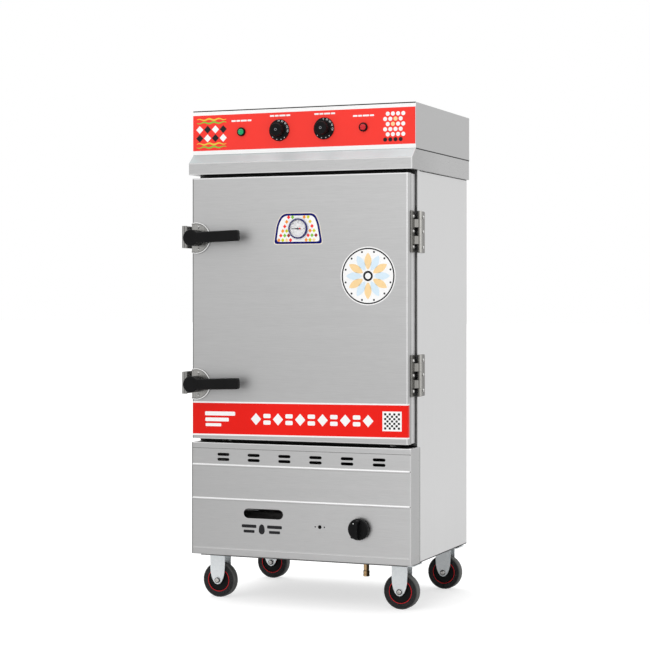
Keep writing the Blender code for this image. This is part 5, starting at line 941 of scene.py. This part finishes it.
# Casters
def wheel_faces(offset):
    """Corner, side and centre of each wheel's two faces, an offset away from its middle."""
    for corner, (x, y) in CORNERS.items():
        for side, label in ((-1, "near"), (1, "far")):
            yield corner, side, label, (x, y + side * offset, WHEEL_RADIUS)


def axle_caps():
    """Domed nuts on the axle ends, each with a ring of painted shade round it."""
    profile = ((0.0068, -0.0003), (0.0069, 0.0003), (0.0084, 0.0003), (0.0085, -0.0003))
    for corner, side, label, centre in wheel_faces(0.0263):
        outwards = FORWARDS * -side
        button_screws(f"axle_cap_{corner}_{label}", [at(*centre)], outwards, 0.0068, 0.003, ON_FORK)
        piece(f"axle_shade_ring_{corner}_{label}", hoop(centre, profile, 32, side), "film_shade", ON_FORK)


def wheel_rings():
    """Red bands let into both faces of each wheel."""
    profile = ((0.0339, -0.0003), (0.034, 0.0004), (0.035, 0.0004), (0.0351, -0.0003))
    for corner, side, label, centre in wheel_faces(0.015):
        home = (f"wheel_{corner}", "wheel_rubber")
        piece(f"wheel_band_{corner}_{label}", hoop(centre, profile, 64, side), "film_wheel_band", home)


# Control head
def dial_marks(name, centre_x, numbers):
    """White numbers from the skirt's top round to its right, four dots below and a small ring on the cap."""
    home = (f"{name}_dial", "knob_black")
    centre = (centre_x, KNOB_Z)
    cap_front = -0.0071
    inner, outer = (0.0215, 0.0169), (0.0325, 0.0203)
    slope = (outer[1] - inner[1]) / (outer[0] - inner[0])

    def on_skirt(reach, across, angle, lift):
        x, z = swung(centre, reach, angle, across)
        return at(x, inner[1] + slope * (math.dist((x, z), centre) - inner[0]) - lift, z)

    shape = bmesh.new()
    for degrees in (-52, -76, -104, -135):
        loops = [[on_skirt(0.0284 + a, b, math.radians(degrees), lift) for a, b in disc((0, 0), 0.0013, 12)]
                 for lift in (LAYER, -0.0001)]
        skin(shape, loops)
    piece(f"{name}_dots", shape, "mark_white", home)
    shape = bmesh.new()
    for i, text in enumerate(numbers):
        mesh = glyph_mesh(text, 0.0066)
        for vertex in mesh.vertices:
            vertex.co = on_skirt(0.028 + vertex.co.y, -vertex.co.x, math.radians(92 - i * 24), 0.0002)
        add_glyphs(shape, mesh, 0.0002)
    piece(f"{name}_numbers", shape, "mark_white", home)
    ring = round_band(centre, 0.0036, 0.0027, cap_front - 0.0001, 32, 0.0002)
    piece(f"{name}_centre_ring", ring, "film_grey", home)


def panel_designs():
    """Plain shapes in the colours of the face film's ends, and short bars over the controls."""
    front = HEAD_FRONT_Y - LAYER
    ripples = {"gold": (0.0022, 1.454, 1.38), "green": (-0.0022, 1.444, 1.37)}
    left = {label: [ripple((-0.346, z), 0.099, 0.0026, swing, 3.0) for z in zs]
            for label, (swing, *zs) in ripples.items()}
    left.update({"white": [], "black": []})
    for i in range(8):
        row, column = divmod(i, 4)
        centre = (-0.336 + column * 0.0262, 1.4235 - row * 0.0262)
        left["black" if (row + column) % 2 else "white"].append(diamond(centre, 0.024, 0.024))
    right = {"white": [], "peach": [], "black": []}
    for row in range(6):
        for column in range(4):
            centre = (0.264 + column * 0.016 + 0.008 * (row % 2), 1.374 + row * 0.015)
            label = "black" if row == 0 else "peach" if (row, column) in ((3, 1), (4, 2)) else "white"
            right[label].append(disc(centre, 0.0062, 20))
    for side, designs in (("left", left), ("right", right)):
        for label, outlines in designs.items():
            piece(f"head_design_{side}_{label}", plates(outlines, front), f"film_{label}", ON_FACE)
    words = []
    for x, z in ((-0.1967, 1.4465), (-0.0698, 1.457), (0.074, 1.457), (LAMP_X, 1.4465)):
        left_end = x - 0.033
        for width in (0.014, 0.012, 0.02, 0.013):
            words.append(bar((left_end + width / 2, z), width, 0.005))
            left_end += width + 0.0023
    piece("head_label_bars", plates(words, front), "film_white", ON_FACE)
    end = oblong(0.3572, BAND_BOTTOM_Z, 0.3584, BAND_TOP_Z)
    piece("head_film_end", plates([end], front), "film_cyan", ON_FACE)


def lamp_bezels():
    """Dark rims round the pilot lamps' lenses."""
    profile = [(0.0094, 0.0183), (0.0094, 0.0168), (0.0104, 0.0162), (0.0122, 0.0166), (0.0131, 0.0182),
               (0.0131, 0.0226), (0.0126, 0.0226), (0.0126, 0.0183)]
    for label, x in (("green", -LAMP_X), ("red", LAMP_X)):
        rim = hoop((x, 0.0, LAMP_Z), profile, 48)
        piece(f"lamp_rim_{label}", rim, "plastic_knob", ("cabinet", "knob_black"))


# Lower panel
def lower_panel_marks():
    """The mark under the viewing slot; painted shade in the small holes, where the beads end and along the
    top crease; and a painted dark reflection down the panel's left bend.
    """
    flame = []
    for i in range(20):
        angle = math.tau * i / 20
        reach = 0.0085 * (1 + 0.75 * max(math.sin(angle), 0.0) ** 3)
        flame.append((-0.1195 + 1.15 * reach * math.cos(angle), 0.219 + 1.3 * reach * math.sin(angle)))
    marks = [flame]
    for x in (-0.161, -0.078):
        marks += [bar((x, 0.231), 0.048, 0.0095), bar((x, 0.2155), 0.036, 0.0085)]
    hole_sizes = ((0.0529, 0.0021), (0.0675, 0.0057), (0.0821, 0.0021))
    holes = [disc((x, 0.2387), radius, 24) for x, radius in hole_sizes]
    shade_spots = [disc((0.3492, z), 0.0013, 12) for z in (0.46, 0.4105, 0.309)]
    front, in_holes = PANEL_FRONT_Y - LAYER, PANEL_FRONT_Y + 0.0007
    for name, outlines, plane, finish in (
        ("ignition_mark", marks, front, "film_black"),
        ("igniter_hole_shade", holes, in_holes, "film_shade"),
        ("panel_edge_line", [oblong(-0.35, 0.141, -0.3478, PANEL_TOP_Z)], front, "film_edge"),
        ("panel_crease_line", [oblong(-0.348, 0.4596, 0.348, 0.4605)], front, "film_edge"),
        ("bead_end_shade", shade_spots, front, "film_shade"),
    ):
        piece(name, plates(outlines, plane), finish, ON_LOWER)


def side_seams():
    """Painted shadow lines on both sides, at three joints: beside the lower panel's end, along the shell's
    foot and under the canopy.
    """
    start, end = SIDE_SEAM_Y
    back = shell_high.y - ORIGIN.y - 0.004
    seams = {
        "panel_seam_shadow": oblong(start, 0.142, end, PANEL_TOP_Z),
        "shell_foot_shadow": oblong(start, shell_low.z, back, shell_low.z + 0.0028),
        "canopy_seam_shadow": oblong(start, CANOPY_BOTTOM_Z - 0.002, back, CANOPY_BOTTOM_Z),
    }
    for side, label in ((1, "right"), (-1, "left")):
        x = side * (BODY_HALF_WIDTH + LAYER)
        for name, outline in seams.items():
            piece(f"{name}_{label}", side_slab(outline, (x, x - side * 2 * LAYER)), "film_shade", ON_SHELL)


def gas_fittings():
    """The gas knob's dot, and the two coupling sleeves on the hose nipple."""
    dot = plates([disc((GAS_X - 0.0138, GAS_Z + 0.0165), 0.0017, 20)], -0.0191, 0.0003)
    piece("gas_knob_dot", dot, "mark_white", ("gas_dial", "knob_black"))
    shape = bmesh.new()
    bore = 0.0046
    collar = [(0.0082, 0.1132), (0.0082, 0.1318), (0.0074, 0.1328), (bore, 0.1328), (bore, 0.1132)]
    coupling = [(0.0084, 0.0944), (0.0094, 0.0952), (0.0094, 0.1006), (0.0086, 0.1012), (0.0086, 0.1024),
                (0.0094, 0.103), (0.0094, 0.11), (0.008, 0.112), (bore, 0.112), (bore, 0.0944)]
    for profile in (collar, coupling):
        turned_on(shape, at(GAS_X, NIPPLE_Y, 0.0), Vector((0, 0, 1)), profile, ring=True)
    piece("nipple_coupling", shape, "brass_fittings", ("cabinet", "valve_brass"))


def panel_screws():
    for side, label in ((1, "right"), (-1, "left")):
        places = [at(side * PANEL_HALF_WIDTH, 0.069, z) for z in (0.2656, 0.2031, 0.1613, 0.44)]
        outwards = RIGHTWARDS * side
        button_screws(f"panel_screws_{label}", places, outwards, 0.0026, 0.0012, ON_LOWER, "steel_pipe")


def cover_seams():
    """The lid's folded edge in painted shade, the dark joint under the head, and the sloping face of the
    canopy.
    """
    low, high = HEAD_TOP_Z - 0.0036, HEAD_TOP_Z - 0.0003
    fold = [(0.0236, low), (HEAD_FRONT_Y, low), (HEAD_FRONT_Y, high), (0.0236, high + 0.0001)]
    half = HEAD_HALF_WIDTH - 0.0004
    piece("head_lid_edge", side_slab(fold, (-half, half)), "lid_fold", ON_HEAD)
    stations = []
    for spread, z in ((LAYER, -0.0021), (LAYER, 0.0012), (-0.0003, 0.0012), (-0.0003, -0.0021)):
        half = HEAD_HALF_WIDTH + spread
        corners = oblong(-half, HEAD_FRONT_Y + 0.0012, half, HEAD_BACK_Y + spread)
        stations.append([at(x, y, CANOPY_TOP_Z + z) for x, y in corners])
    shape = bmesh.new()
    skin(shape, stations, ring=True)
    piece("head_joint", shape, "film_shade", ON_HEAD)
    pitch = (CANOPY_TOP_Z - CANOPY_SLOPE_Z) / (HEAD_FRONT_Y - CANOPY_FRONT_Y)
    foot, top = (Vector((y, CANOPY_SLOPE_Z + (y - CANOPY_FRONT_Y) * pitch + LAYER / 4))
                 for y in (CANOPY_FRONT_Y + 0.0006, HEAD_FRONT_Y - 0.0003))
    way = (top - foot).normalized()
    lift = Vector((-way.y, way.x)) * LAYER
    half = HEAD_HALF_WIDTH - 0.0016
    slope = side_slab([foot, top, top + lift, foot + lift], (-half, half))
    piece("canopy_slope_face", slope, "steel_slope", ("cabinet", "canopy_steel"))


# Stage, light and camera
AMBIENT = 0.78
FLOOR_COLOUR = grey(0.9)
FLOOR_SHADE = grey(0.58)
FLOOR_REACH = 60.0
FLOOR_GLOW = 0.6
FLOOR_GLOSS = 0.15
PURE_WHITE = grey(1.0)


def seen_ray(tree):
    """1 for camera, glossy and transmission rays."""
    path = node(tree, "LightPath")
    seen = maths("MAXIMUM", path["Is Camera Ray"], path["Is Glossy Ray"])
    return maths("MAXIMUM", seen, path["Is Transmission Ray"])


def glossy_ray(tree):
    return node(tree, "LightPath")["Is Glossy Ray"]


def floor_material():
    """A plain floor for the light, and a shaded one with a glow of its own for what is seen."""
    made = bpy.data.materials.new("studio_floor")
    made.use_nodes = True
    tree = made.node_tree
    tree.nodes.clear()
    plain = node(tree, "BsdfDiffuse", {"Color": FLOOR_COLOUR})[0]
    shaded = node(tree, "BsdfDiffuse", {"Color": FLOOR_SHADE})[0]
    strength = mix_floats(glossy_ray(tree), FLOOR_GLOW, FLOOR_GLOSS)
    glow = node(tree, "Emission", {"Color": PURE_WHITE, "Strength": strength})[0]
    total = node(tree, "AddShader", {0: shaded, 1: glow})[0]
    chosen = node(tree, "MixShader", {0: seen_ray(tree), 1: plain, 2: total})[0]
    node(tree, "OutputMaterial", {"Surface": chosen})
    return made


def floor():
    """Pale floor that keeps the shadow and reads white to the camera and in reflections."""
    shape = bmesh.new()
    corners = oblong(-FLOOR_REACH, -FLOOR_REACH, FLOOR_REACH, FLOOR_REACH)
    shape.faces.new([shape.verts.new((x, y, 0.0)) for x, y in corners])
    ground = add_mesh("studio_floor", shape, floor_material())


def sky():
    """White surroundings. In reflections they are a little dimmer in front, on the left and low down."""
    world = bpy.data.worlds.new("studio_surroundings")
    bpy.context.scene.world = world
    world.use_nodes = True
    tree = world.node_tree
    tree.nodes.clear()
    x, y, z = separate(tree, "Generated")
    gloss = remap(y, 0.86, 1.0, -0.8, 0.5)
    for part, *ends in ((x, -0.07, 0.05, -0.8, 0.8), (z, -0.06, 0.12, -0.2, 0.7), (z, 0.0, 0.45, 0.15, 0.9)):
        gloss = maths("ADD", gloss, remap(part, *ends))
    for towards, extra in (((0.93, -0.37, 0.05), 0.6), ((-0.93, 0.37, 0.05), -0.45)):
        way = node(tree, "TexCoord")["Generated"]
        aim = node(tree, "VectorMath", {0: way, 1: towards}, operation="DOT_PRODUCT")["Value"]
        gloss = maths("ADD", gloss, remap(aim, 0.0, extra, 0.8, 0.95))
    shown = mix_floats(glossy_ray(tree), 1.0, gloss)
    strength = mix_floats(seen_ray(tree), AMBIENT, shown)
    background = node(tree, "Background", {"Color": PURE_WHITE, "Strength": strength})[0]
    node(tree, "OutputWorld", {"Surface": background})


def soft_sun(name, towards, angle, strength):
    """A wide, soft light that steel doesn't mirror as a spot."""
    data = bpy.data.lights.new(name, "SUN")
    data.angle = math.radians(angle)
    data.energy = strength
    made = add_object(name, data)
    made.rotation_euler = Vector(towards).to_track_quat("-Z", "Y").to_euler()
    made.visible_glossy = False


def camera():
    data = bpy.data.cameras.new("photo_camera")
    data.sensor_fit = "HORIZONTAL"
    data.sensor_width = 36.0
    data.lens = 98.457
    data.shift_y = -0.0382
    data.clip_end = 200.0
    made = add_object("photo_camera", data)
    made.location = at(2.0559, -4.8364, 0.9064)
    made.rotation_euler = (math.radians(90.0), 0.0, math.radians(22.18))
    bpy.context.scene.camera = made


door_strip()
door_strip_marks()
round_decal()
thermometer_film()
dial_face()
hinge_fasteners()
flange_edges()
latch_fasteners()
axle_caps()
wheel_rings()
dial_marks("thermostat", -KNOB_X, ["30", "60", "90", "120", "150"])
dial_marks("timer", KNOB_X, ["0", "30", "60", "90", "120"])
panel_designs()
lamp_bezels()
lower_panel_marks()
side_seams()
gas_fittings()
panel_screws()
cover_seams()
floor()
sky()
soft_sun("key_light", (0.42, -0.3, -1.0), 50.0, 0.9)
soft_sun("fill_light", (0.35, 1.0, -0.55), 60.0, 0.7)
camera()
bpy.context.scene.view_settings.view_transform = "Standard"
